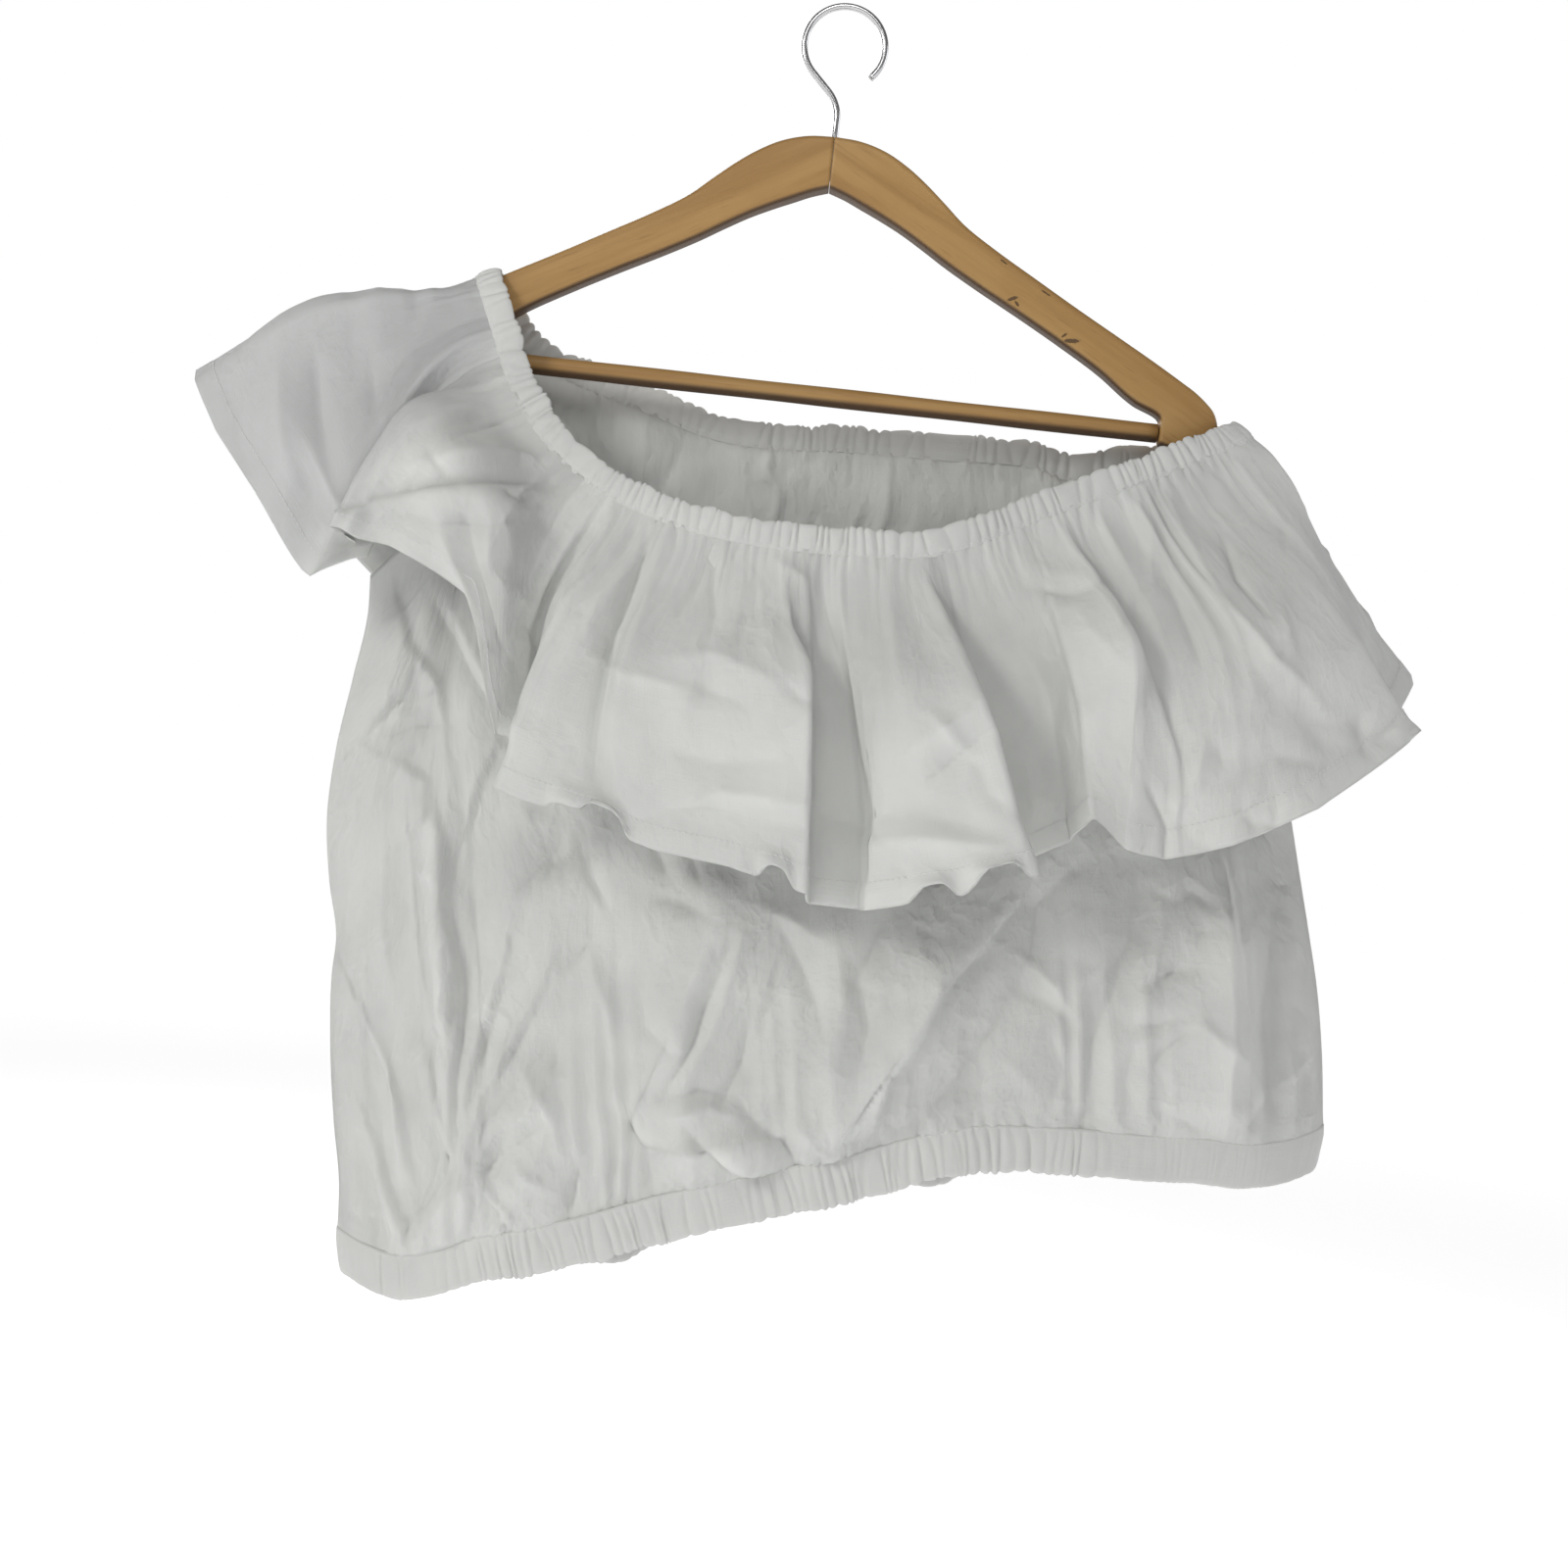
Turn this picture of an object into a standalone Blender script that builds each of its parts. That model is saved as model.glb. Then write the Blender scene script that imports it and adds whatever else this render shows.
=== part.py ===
# Off-shoulder top with a deep flounce, hung on a wooden hanger that has a trouser bar.
# X runs to the right as seen from the front, Y to the back and Z up. The origin is the point
# where a rail carries the hook. Sizes and tables are in millimetres; MM turns them into metres.

import math

import bpy
import bmesh
import numpy as np

MM = 0.001

# Cloth, seams and gathers
CLOTH = 1.2
SEAM_GAP = 0.3
NECK_CASING = {"width": 14.0, "thick": 3.6, "puff": 0.6, "gather": 1.0}
HEM_CASING = {"width": 24.0, "thick": 3.4, "puff": 0.7, "gather": 1.0}
NECK_GATHERS = {"front": 60, "back": 40}
HEM_GATHERS = {"front": 50, "back": 40}

# Top edge of the neck casing, once round: the front from the left crest to the right crest, then
# the back to the left again. turn is the way the band falls, in degrees from straight down
# towards +X.
EDGE_COLUMNS = ("x", "y", "z", "turn")
NECK_FRONT = (
    (-171, 0, -159.8, -60),
    (-170, -6.5, -160.8, -62),
    (-167, -11.2, -166.5, -65),
    (-163, -14, -175, -66),
    (-155, -18, -193, -67),
    (-143, -23, -219, -59),
    (-127, -28, -240, -47),
    (-108, -34, -257, -34),
    (-82, -40, -270, -20),
    (-45, -46, -280, -10),
    (-4, -50, -284, -2),
    (37, -50, -283, 4),
    (72, -48, -279, 15),
    (101, -44, -266, 26),
    (136, -36, -247, 27),
    (171, -27, -230, 27),
    (200, -18, -214, 31),
    (217, -13.5, -205, 42),
    (226, -8.5, -200.5, 54),
)
NECK_BACK = (
    (229, 0, -198.5, 58),
    (226, 8.5, -200.5, 54),
    (216, 14, -205, 42),
    (192, 18, -212, 18),
    (166, 21, -215, 5),
    (151, 23, -221, 0),
    (127, 25, -216, 0),
    (76, 27, -217, 0),
    (22, 28, -218, 0),
    (-16, 28, -221, 0),
    (-43, 27, -220, -5),
    (-77, 26, -211, -15),
    (-121, 23, -199, -22),
    (-144, 18, -191, -38),
    (-158, 14.5, -178, -52),
    (-166, 11.2, -167, -57),
    (-170, 6.5, -160.8, -60),
)

# Lower edge of the hem casing, once round in the same way and with the same columns.
HEM_FRONT = (
    (-196, 0, -702, 12),
    (-195, -4, -702.4, 12),
    (-190, -8, -703.8, 12),
    (-181, -12, -707, 11),
    (-165, -17, -710, 10),
    (-144, -24, -705, 14),
    (-124, -28, -695, 16),
    (-93, -33, -686, 18),
    (-63, -37, -675, 20),
    (-24, -41, -659, 20),
    (6, -43, -648, 19),
    (35, -44, -638, 19),
    (70, -45, -627, 18),
    (89, -45, -619, 16),
    (114, -44, -610, 12),
    (134, -42, -605, 7),
    (159, -40, -603, 2),
    (185, -37, -602, 0),
    (217, -33, -602, 0),
    (248, -29, -601, -2),
    (275, -22, -602, -2),
    (301, -9, -598, -4),
    (316, 1, -592, -5),
)
HEM_BACK = (
    (318, 6, -591, -5),
    (316, 11, -592, -4),
    (304, 18, -599, 0),
    (270, 24, -605, 0),
    (215, 28, -606, 0),
    (165, 30, -606, 4),
    (142, 31, -613, 8),
    (122, 32, -627, 8),
    (98, 32, -629, 8),
    (76, 31, -631, 12),
    (30, 30, -643, 16),
    (-8, 29, -657, 16),
    (-30, 29, -675, 16),
    (-52, 28, -689, 16),
    (-76, 27, -689, 16),
    (-110, 25, -692, 16),
    (-150, 20, -708, 14),
    (-184, 9, -709, 12),
    (-195, 4, -702.8, 12),
)

# Flounce ribs from the neck seam to the hem: neck counts the gathers along that half of the
# casing, knee is a point about half way down the cloth, hem the point on the lower edge.
RIB_COLUMNS = ("neck", "knee_x", "knee_y", "knee_z", "hem_x", "hem_y", "hem_z")
FRONT_RIBS = {
    "shoulder fold": (0, -263, 0, -186, -327, 0, -231),
    "fold turn": (1, -263, -9, -188, -324, -10, -238),
    "shoulder front": (2, -251, -21, -208, -306, -23, -265),
    "side": (4, -232, -34, -239, -277, -40, -298),
    "corner": (5, -217, -42, -259, -242, -48, -340),
    "turned in": (7, -200, -30, -256, -219, -24, -322),
    "flap edge": (8, -199, -54, -242, -231, -64, -317),
    "flap mid": (11, -176, -66, -276, -201, -62, -319),
    "flap right": (14, -143, -64, -300, -160, -58, -338),
    "pleat tip": (16, -134, -52, -342, -138, -50, -408),
    "valley": (18, -121, -37, -335, -119, -36, -411),
    "main left": (20, -109, -58, -350, -134, -66, -435),
    "crease": (22, -84, -55, -367, -86, -64, -447),
    "curl": (24, -66, -66, -376, -50, -76, -457),
    "main mid": (26, -24, -74, -371, -11, -82, -461),
    "main ridge": (29, 18, -82, -367, 27, -90, -470),
    "recess left": (30, 20, -60, -376, 31, -62, -476),
    "recess right": (31, 40, -60, -373, 56, -64, -476),
    "panel left": (33, 45, -74, -374, 58, -84, -475),
    "panel mid": (35, 69, -86, -371, 101, -96, -463),
    "panel ridge": (37, 103, -86, -365, 140, -98, -448),
    "second recess": (38, 106, -56, -366, 138, -50, -443),
    "recess lobe": (40, 140, -54, -360, 161, -56, -429),
    "narrow left": (42, 146, -73, -350, 168, -80, -417),
    "narrow ridge": (45, 172, -82, -326, 183, -88, -431),
    "lobe valley": (47, 188, -72, -334, 204, -84, -433),
    "lobe mid": (50, 214, -72, -325, 235, -86, -423),
    "lobe right": (53, 248, -66, -311, 277, -80, -400),
    "lobe corner": (56, 277, -44, -291, 335, -46, -353),
    "side valley": (58, 284, -24, -276, 330, -20, -344),
    "side turn": (59, 285, -9, -265, 338, -9, -328),
    "side fold": (60, 283, 0, -262, 339, 0, -322),
}
BACK_RIBS = {
    "side fold": (0, 283, 0, -262, 339, 0, -322),
    "side turn": (1, 292, 9, -262, 340, 10, -332),
    "side lobe": (2, 296, 20, -270, 336, 24, -342),
    "side valley": (4, 262, 34, -296, 284, 32, -384),
    "wave 1": (5, 240, 56, -310, 256, 64, -398),
    "valley 1": (7, 213, 42, -318, 219, 40, -408),
    "wave 2": (10, 188, 62, -322, 194, 74, -416),
    "valley 2": (12, 156, 42, -324, 155, 40, -421),
    "wave 3": (14, 128, 60, -326, 128, 70, -426),
    "valley 3": (16, 94, 43, -327, 90, 41, -428),
    "wave 4": (19, 62, 63, -327, 58, 76, -430),
    "valley 4": (21, 28, 44, -327, 24, 42, -429),
    "wave 5": (24, -6, 60, -326, -12, 71, -427),
    "valley 5": (26, -42, 43, -321, -50, 40, -421),
    "wave 6": (28, -74, 60, -313, -88, 68, -412),
    "valley 6": (31, -108, 40, -300, -128, 37, -399),
    "wave 7": (33, -142, 50, -280, -168, 52, -382),
    "valley 7": (35, -170, 34, -262, -201, 32, -350),
    "shoulder wave": (37, -208, 32, -232, -254, 34, -305),
    "shoulder back": (38, -246, 20, -204, -300, 22, -262),
    "fold turn": (39, -262, 9, -188, -322, 10, -240),
    "shoulder fold": (40, -263, 0, -186, -327, 0, -231),
}
# Rows of the flounce as shares of the way down, and how far it falls straight from the seam.
FLOUNCE_ROWS = (0.0, 0.05, 0.13, 0.26, 0.41, 0.56, 0.71, 0.86, 1.0)
LEAVE_STRAIGHT = 9.0

# Side seams of the body from the underarm down, in x and z, and the plane y each lies in.
LEFT_SEAM_Y = 0.0
RIGHT_SEAM_Y = 6.0
LEFT_SEAM = ((-222, -330), (-221, -350), (-225, -385), (-230, -425), (-231, -460), (-226, -495),
             (-219, -525), (-219, -545), (-216, -580), (-209, -625), (-203, -655))
RIGHT_SEAM = ((262, -302), (272, -356), (285, -405), (293, -435), (302, -468), (309, -495),
              (316, -533))

# Where the armholes meet the neck seam, counted in gathers of each half of the casing.
ARMHOLES = {"front": (6, 56), "back": (4, 36)}
ARMHOLE_BOW = 10.0

# Depth of the panels off the straight line from neck to hem, plus being towards the back.
DEPTH_COLUMNS = ("share_down", "depth")
FRONT_SET_BACK = ((0.0, 0), (0.15, 8), (0.3, 12), (0.5, 10), (0.68, 2), (0.85, -6), (0.95, -4),
                  (1.0, 0))
BACK_SET_OUT = ((0.0, 0), (0.08, -3), (0.25, -4), (0.5, 2), (0.7, 6), (0.87, 9), (0.95, 5),
                (1.0, 0))

# Largest folds of the panels, as soft ridges (plus) or troughs (minus) along a line.
FOLD_COLUMNS = ("x1", "z1", "x2", "z2", "half_width", "lift")
FRONT_FOLDS = {
    "diagonal front": (108, -492, 58, -602, 22, 8),
    "diagonal back": (150, -498, 92, -600, 20, -6),
    "side ridge": (248, -440, 262, -585, 12, 7),
    "side trough": (276, -440, 286, -580, 10, -6),
    "left ridge": (-178, -420, -152, -560, 14, 6),
    "left trough": (-150, -470, -120, -620, 13, -5),
    "left hem ridge": (-118, -560, -132, -672, 12, 5),
    "middle ridge": (-10, -480, -50, -600, 15, 5),
    "hem pouch": (-40, -612, 30, -606, 18, 6),
    "side crush": (-205, -500, -190, -640, 12, 4),
}
BACK_FOLDS = {
    "centre ridge": (30, -440, 10, -600, 18, 6),
    "right trough": (120, -430, 150, -570, 16, -5),
    "right ridge": (190, -420, 214, -560, 16, 6),
    "left trough": (-70, -450, -96, -640, 15, -5),
    "left ridge": (-130, -430, -150, -650, 16, 6),
    "hem ridge": (70, -520, 90, -600, 14, 5),
}

# Grid of the panels: columns under the first armhole, the neck seam and the second armhole, and
# the shares of the width at which these meet. Rows are closer together towards the hem, columns
# towards the sides. Depth and folds fade out over a share of the width and of the height.
BODY_COLUMNS = {"front": (8, 25, 6), "back": (5, 16, 6)}
BODY_SPLIT = {"front": (0.12, 0.90), "back": (0.11, 0.86)}
BODY_ROWS = {"front": 16, "back": 12}
ROW_EASE = 0.92
SIDE_EASE = 1.8
SIDE_FADE = 0.12
TOP_FADE = 0.08
FOOT_FADE = 0.06
FOLD_END_FADE = 0.12

# Hanger: arm sections from the middle joint to the tip, as the upper and the lower edge.
ARM_COLUMNS = ("top_x", "top_z", "low_x", "low_z", "thick")
ARM_SECTIONS = (
    (0.15, -70, 0.15, -98, 14),
    (14, -71, 9, -101, 14),
    (28, -75, 18, -105, 14),
    (41, -82, 29, -110, 13.5),
    (52, -90, 41, -116, 13),
    (62, -98.5, 53, -123, 13),
    (74, -109, 66, -131, 13),
    (92, -120.5, 84, -141, 13),
    (115, -133.5, 107, -153, 13),
    (140, -147.5, 131, -166, 13),
    (165, -161, 155, -180, 13),
    (186, -172.5, 175, -194, 13),
    (199, -180, 189.5, -201, 13),
    (207, -184.8, 190, -208, 13),
    (213, -189.4, 191.5, -214.5, 12.5),
    (218, -194.5, 202, -216, 12),
    (220.5, -200, 211, -214, 10.5),
    (221.5, -204, 216, -211, 8),
)
ARM_ROUND = 3.0
ARM_CORNER_STEPS = 3
BAR_RADIUS = 5.3
BAR_Z = -208.0
BAR_HALF = 189.2
BAR_SIDES = 16
HOOK_WIRE = 1.75
HOOK_INNER = 20.0
HOOK_END_ANGLE = -40.0
HOOK_LEAVE_ANGLE = 225.0
HOOK_BEND = 9.0
HOOK_STEPS = 30
BEND_STEPS = 8
SHANK_FOOT = -92.0
SHANK_CLEAR = 0.3
SHANK_SIDES = 12

# Curves are measured in fine steps, and their heading is taken a little before and after a
# place. Seams are straight between places at these gathers from each crest, and then at every
# second gather.
FINE_STEPS = 600
HEADING_STEP = 0.05
CREST_GATHERS = (0, 0.5, 1, 1.5, 2, 3)

# Finishes: colour, roughness, metallic
COTTON = ((0.66, 0.67, 0.65, 1.0), 0.85, 0.0)
CASING_COTTON = ((0.70, 0.69, 0.68, 1.0), 0.85, 0.0)
HONEY_WOOD = ((0.46, 0.24, 0.08, 1.0), 0.42, 0.0)
STEEL = ((0.62, 0.62, 0.62, 1.0), 0.28, 1.0)


def clear_scene():
    for old in list(bpy.data.objects):
        bpy.data.objects.remove(old, do_unlink=True)


def finish(name, look):
    colour, roughness, metallic = look
    material = bpy.data.materials.new(name)
    material.use_nodes = True
    shader = material.node_tree.nodes["Principled BSDF"]
    shader.inputs["Base Color"].default_value = colour
    shader.inputs["Roughness"].default_value = roughness
    shader.inputs["Metallic"].default_value = metallic
    material.diffuse_color = colour
    return material


def unit(vectors):
    vectors = np.asarray(vectors, float)
    return vectors / np.maximum(np.linalg.norm(vectors, axis=-1, keepdims=True), 1e-9)


def smooth_through(rows, closed=False):
    """A smooth curve through rows of numbers; it takes places 0, 1, 2 ... at the rows."""
    rows = np.asarray(rows, float)
    count = len(rows)
    if closed:
        before = np.roll(rows, 1, axis=0)
        after = np.roll(rows, -1, axis=0)
        last = count
    else:
        before = np.vstack([2 * rows[0] - rows[1], rows[:-1]])
        after = np.vstack([rows[1:], 2 * rows[-1] - rows[-2]])
        last = count - 1
    step_in = np.maximum(np.linalg.norm((rows - before)[:, :3], axis=1), 1e-6)[:, None]
    step_out = np.maximum(np.linalg.norm((after - rows)[:, :3], axis=1), 1e-6)[:, None]
    slope = (rows - before) / step_in * step_out + (after - rows) / step_out * step_in
    slope = slope / (step_in + step_out)

    def at(places):
        places = np.clip(np.asarray(places, float), 0, last)
        first = np.minimum(np.floor(places).astype(int), last - 1)
        part = (places - first)[..., None]
        second = (first + 1) % count
        length = step_out[first]
        h1 = 2 * part ** 3 - 3 * part ** 2 + 1
        h2 = part ** 3 - 2 * part ** 2 + part
        h3 = -2 * part ** 3 + 3 * part ** 2
        h4 = part ** 3 - part ** 2
        start = h1 * rows[first] + h2 * length * slope[first]
        return start + h3 * rows[second] + h4 * length * slope[second]

    return at


def even_places(curve, first, last, shares):
    """Places on the curve at shares of its length between two rows."""
    fine = np.linspace(first, last, FINE_STEPS)
    points = curve(fine)[:, :3]
    steps = np.linalg.norm(np.diff(points, axis=0), axis=1)
    length = np.concatenate([[0], np.cumsum(steps)])
    return np.interp(np.asarray(shares, float) * length[-1], length, fine)


class Band:
    """A casing that runs once round the garment, with a front half and a back half."""

    def __init__(self, front, back, casing, seam_side, knots):
        self.curve = smooth_through(front + back, closed=True)
        self.halves = {"front": (0, len(front)), "back": (len(front), len(front) + len(back))}
        self.casing = casing
        self.seam_side = seam_side
        self.knots = knots
        self.knot_frames = {half: self.smooth_frames(half, knots[half]) for half in knots}

    def frames(self, half, shares):
        """The same as smooth_frames, but straight from knot to knot, so that seams match."""
        knots = self.knots[half]
        return [
            np.stack([np.interp(shares, knots, rows[:, k]) for k in range(3)], axis=1)
            for rows in self.knot_frames[half]
        ]

    def smooth_frames(self, half, shares):
        """Edge points, the way down and the way out at shares of one half."""
        shares = np.asarray(shares, float)
        first, last = self.halves[half]
        places = even_places(self.curve, first, last, shares)
        rows = self.curve(places)
        points = rows[:, :3]
        count = self.halves["back"][1]
        ahead = self.curve((places + HEADING_STEP) % count)[:, :3]
        behind = self.curve((places - HEADING_STEP) % count)[:, :3]
        along = unit(ahead - behind)
        ends = (shares <= 0) | (shares >= 1)
        along[ends] = unit(along[ends] * np.array([0, 1, 0]))
        turn = np.radians(rows[:, EDGE_COLUMNS.index("turn")])
        down = np.stack([np.sin(turn), np.zeros(len(turn)), -np.cos(turn)], axis=1)
        out = unit(np.cross(down, along))
        side = -1 if half == "front" else 1
        points = points.copy()
        points[ends, 1] += side * SEAM_GAP / 2
        return points, down, out

    def seam(self, half, shares, outward):
        """Points on the seam line, moved out by a distance, with the directions there."""
        points, down, out = self.frames(half, shares)
        reach = self.casing["width"] + SEAM_GAP
        return points + self.seam_side * down * reach + out * outward, down, out


def object_from(name, mesh_data, material, smooth_angle=40.0):
    mesh = bpy.data.meshes.new(name)
    mesh_data.to_mesh(mesh)
    mesh_data.free()
    mesh.materials.append(material)
    mesh.shade_smooth()
    mesh.set_sharp_from_angle(angle=math.radians(smooth_angle))
    thing = bpy.data.objects.new(name, mesh)
    bpy.context.scene.collection.objects.link(thing)
    return thing


def loft(name, sections, material, smooth_angle=40.0):
    """A closed body through sections that all have the same number of points."""
    mesh = bmesh.new()
    rings = [[mesh.verts.new(point * MM) for point in section] for section in sections]
    size = len(rings[0])
    for one, two in zip(rings[:-1], rings[1:]):
        for k in range(size):
            mesh.faces.new((one[k], one[(k + 1) % size], two[(k + 1) % size], two[k]))
    mesh.faces.new(rings[0])
    mesh.faces.new(rings[-1])
    bmesh.ops.recalc_face_normals(mesh, faces=mesh.faces)
    return object_from(name, mesh, material, smooth_angle)


def cloth_wall(name, grid, top_out, material, foot_out=None):
    """A wall of cloth on a grid of middle points, rows going down and columns along."""
    falls = grid[1:] - grid[:-1]
    runs = grid[:, 1:] - grid[:, :-1]
    facing = unit(np.cross(falls[:, 1:] + falls[:, :-1], runs[1:] + runs[:-1]))
    out = np.zeros_like(grid)
    for j in (0, 1):
        for i in (0, 1):
            out[j:j + facing.shape[0], i:i + facing.shape[1]] += facing
    out[0] = top_out
    if foot_out is not None:
        out[-1] = foot_out
    out[:, 0, 1] = 0
    out[:, -1, 1] = 0
    out = unit(out)
    mesh = bmesh.new()
    faces = []
    for side in (1, -1):
        points = (grid + side * out * CLOTH / 2) * MM
        faces.append([[mesh.verts.new(point) for point in row] for row in points])
    outer, inner = faces
    rows, columns = grid.shape[:2]
    for j in range(rows - 1):
        for i in range(columns - 1):
            mesh.faces.new((outer[j][i], outer[j + 1][i], outer[j + 1][i + 1], outer[j][i + 1]))
            mesh.faces.new((inner[j][i], inner[j][i + 1], inner[j + 1][i + 1], inner[j + 1][i]))
    for i in range(columns - 1):
        for j in (0, rows - 1):
            mesh.faces.new((outer[j][i], outer[j][i + 1], inner[j][i + 1], inner[j][i]))
    for j in range(rows - 1):
        for i in (0, columns - 1):
            mesh.faces.new((outer[j][i], outer[j + 1][i], inner[j + 1][i], inner[j][i]))
    bmesh.ops.recalc_face_normals(mesh, faces=mesh.faces)
    return object_from(name, mesh, material, smooth_angle=60.0)


def make_casing(name, band, half, gathers, material):
    """One half of a casing: a soft flat tube, gathered on its outer face."""
    size = band.casing
    shares = np.append(np.linspace(0, 1, 2 * gathers + 1), band.knots[half])
    shares = np.unique(np.round(shares, 6))
    ridges = size["gather"] * (1 - np.abs(2 * ((shares * gathers) % 1) - 1))
    points, down, out = band.frames(half, shares)
    reach = band.seam_side * size["width"]
    sections = []
    for k, ridge in enumerate(ridges):
        edge = size["thick"] / 2
        middle = edge + size["puff"]
        far = points[k] + down[k] * reach
        half_way = points[k] + down[k] * reach / 2
        sections.append((
            points[k] - out[k] * edge,
            far - out[k] * edge,
            far + out[k] * edge,
            half_way + out[k] * (middle + ridge),
            points[k] + out[k] * (edge + ridge),
        ))
    return loft(name, sections, material)


def make_flounce(name, band, half, ribs, material):
    """Half the flounce: ribs fall from the neck seam through a knee point to the hem."""
    column = dict(zip(RIB_COLUMNS, np.array(list(ribs.values()), float).T))
    gathers = NECK_GATHERS[half]
    every_gather = np.arange(gathers + 1) / gathers
    shares = np.unique(np.round(np.append(every_gather, band.knots[half]), 6))
    places = np.interp(shares * gathers, column["neck"], np.arange(len(ribs)))
    outward = (CLOTH + SEAM_GAP) / 2
    start, down, out = band.seam(half, shares, outward)
    leave = start + down * LEAVE_STRAIGHT
    ends = (shares <= 0) | (shares >= 1)
    lines = []
    for line in ("knee", "hem"):
        points = np.stack([column[line + axis] for axis in ("_x", "_y", "_z")], axis=1)
        lines.append(smooth_through(points)(places))
        lines[-1][ends, 1] = (-1 if half == "front" else 1) * SEAM_GAP / 2
    knee, hem = lines
    columns = []
    for k in range(len(places)):
        rib = smooth_through((start[k], leave[k], knee[k], hem[k]))
        columns.append(rib(even_places(rib, 0, 3, FLOUNCE_ROWS)))
    return cloth_wall(name, np.array(columns).transpose(1, 0, 2), out, material)


def fold_lift(folds, points):
    """How far the folds lift the cloth at points, from their x and z."""
    lift = np.zeros(points.shape[:-1])
    for row in folds.values():
        fold = dict(zip(FOLD_COLUMNS, row))
        line = np.array([fold["x2"] - fold["x1"], fold["z2"] - fold["z1"]], float)
        away = points[..., (0, 2)] - np.array([fold["x1"], fold["z1"]])
        along = np.clip(away @ line / (line @ line), 0, 1)
        gap = np.linalg.norm(away - along[..., None] * line, axis=-1)
        fade = np.sin(np.pi * (FOLD_END_FADE + (1 - 2 * FOLD_END_FADE) * along))
        lift += fold["lift"] * fade * np.exp(-(gap / fold["half_width"]) ** 2)
    return lift


def spread(half):
    """Shares across a body panel: armhole, neck seam, armhole, closer together at the sides."""
    first, middle, last = BODY_COLUMNS[half]
    low, high = BODY_SPLIT[half]
    return np.round(np.concatenate([
        low * np.linspace(0, 1, first + 1)[:-1] ** SIDE_EASE,
        np.linspace(low, high, middle + 1),
        1 - (1 - high) * np.linspace(1, 0, last + 1)[1:] ** SIDE_EASE,
    ]), 6)


def neck_knots(half):
    """Shares at every second gather, and at every half gather next to the crests."""
    gathers = NECK_GATHERS[half]
    first = CREST_GATHERS[-1]
    every_second = range(first + 1, gathers - first, 2)
    steps = [*CREST_GATHERS, *every_second, *(gathers - step for step in CREST_GATHERS)]
    return np.round(np.unique(steps) / gathers, 6)


def body_patch(half, neck, hem, seams, set_off, folds):
    """Middle points of a body panel between its neck, hem and side edges."""
    side = -1 if half == "front" else 1
    left_columns, neck_columns, right_columns = BODY_COLUMNS[half]
    inward = -(CLOTH + SEAM_GAP) / 2
    first_gather, last_gather = ARMHOLES[half]
    neck_shares = np.linspace(first_gather, last_gather, neck_columns + 1) / NECK_GATHERS[half]
    neck_line, _, neck_out = neck.seam(half, neck_shares, inward)
    hem_ends, _, _ = hem.seam(half, (0.0, 1.0), 0.0)

    edges = []
    for number, (seam, plane) in enumerate(seams):
        points = [(x, plane + side * SEAM_GAP / 2, z) for x, z in seam]
        edge = smooth_through(points + [hem_ends[number]])
        edges.append((edge, len(points)))

    def armhole(under, corner, count):
        share = np.linspace(0, 1, count + 1)[:, None]
        inward = np.sign(corner[0] - under[0])
        bow = np.sin(np.pi * share) * np.array([inward * ARMHOLE_BOW, 0, -ARMHOLE_BOW])
        return under + (corner - under) * share + bow

    first_under = edges[0][0](0)
    last_under = edges[1][0](0)
    first_side = armhole(first_under, neck_line[0], left_columns)
    last_side = armhole(last_under, neck_line[-1], right_columns)[::-1]
    top = np.vstack([first_side[:-1], neck_line, last_side[1:]])
    across = spread(half)
    bottom, _, hem_out = hem.seam(half, across, 0.0)
    rows = BODY_ROWS[half] + 1
    falls = np.linspace(0, 1, rows) ** ROW_EASE
    sides = [edge(even_places(edge, 0, last, falls)) for edge, last in edges]

    u = across[None, :, None]
    v = falls[:, None, None]
    grid = (1 - v) * top[None] + v * bottom[None]
    grid = grid + (1 - u) * sides[0][:, None] + u * sides[1][:, None]
    grid = grid - (1 - v) * ((1 - u) * top[0] + u * top[-1])
    grid = grid - v * ((1 - u) * bottom[0] + u * bottom[-1])

    table = dict(zip(DEPTH_COLUMNS, zip(*set_off)))
    depth = np.interp(falls, table["share_down"], table["depth"])[:, None]
    inside = np.clip(np.minimum(across, 1 - across) / SIDE_FADE, 0, 1)[None, :]
    inside = inside * inside * (3 - 2 * inside)
    rest = np.clip(np.minimum(falls / TOP_FADE, (1 - falls) / FOOT_FADE), 0, 1)[:, None]
    grid[..., 1] += depth * inside + side * fold_lift(folds, grid) * inside * rest
    top_out = np.zeros_like(top)
    top_out[:] = (0, side, 0)
    top_out[left_columns:left_columns + neck_columns + 1] = neck_out
    return grid, top_out, hem_out


def make_body(name, half, neck, hem, seams, set_off, folds, material):
    grid, top_out, hem_out = body_patch(half, neck, hem, seams, set_off, folds)
    return cloth_wall(name, grid, top_out, material, hem_out)


def make_arm(name, side, material):
    """One wooden arm: rounded rectangles from the middle joint out to the tip."""
    corners = ((1, 1), (-1, 1), (-1, -1), (1, -1))
    sections = []
    for row in ARM_SECTIONS:
        size = dict(zip(ARM_COLUMNS, row))
        top = np.array([side * size["top_x"], 0, size["top_z"]])
        low = np.array([side * size["low_x"], 0, size["low_z"]])
        rise = unit(top - low)
        tall = np.linalg.norm(top - low) / 2
        middle = (top + low) / 2
        section = []
        for number, (up, back) in enumerate(corners):
            for step in range(ARM_CORNER_STEPS + 1):
                turn = math.radians(90 * (step / ARM_CORNER_STEPS + number))
                out_up = tall - ARM_ROUND * (1 - abs(math.cos(turn)))
                out_back = size["thick"] / 2 - ARM_ROUND * (1 - abs(math.sin(turn)))
                section.append(middle + rise * up * out_up + np.array([0, back * out_back, 0]))
        sections.append(section)
    return loft(name, sections, material)


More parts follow.
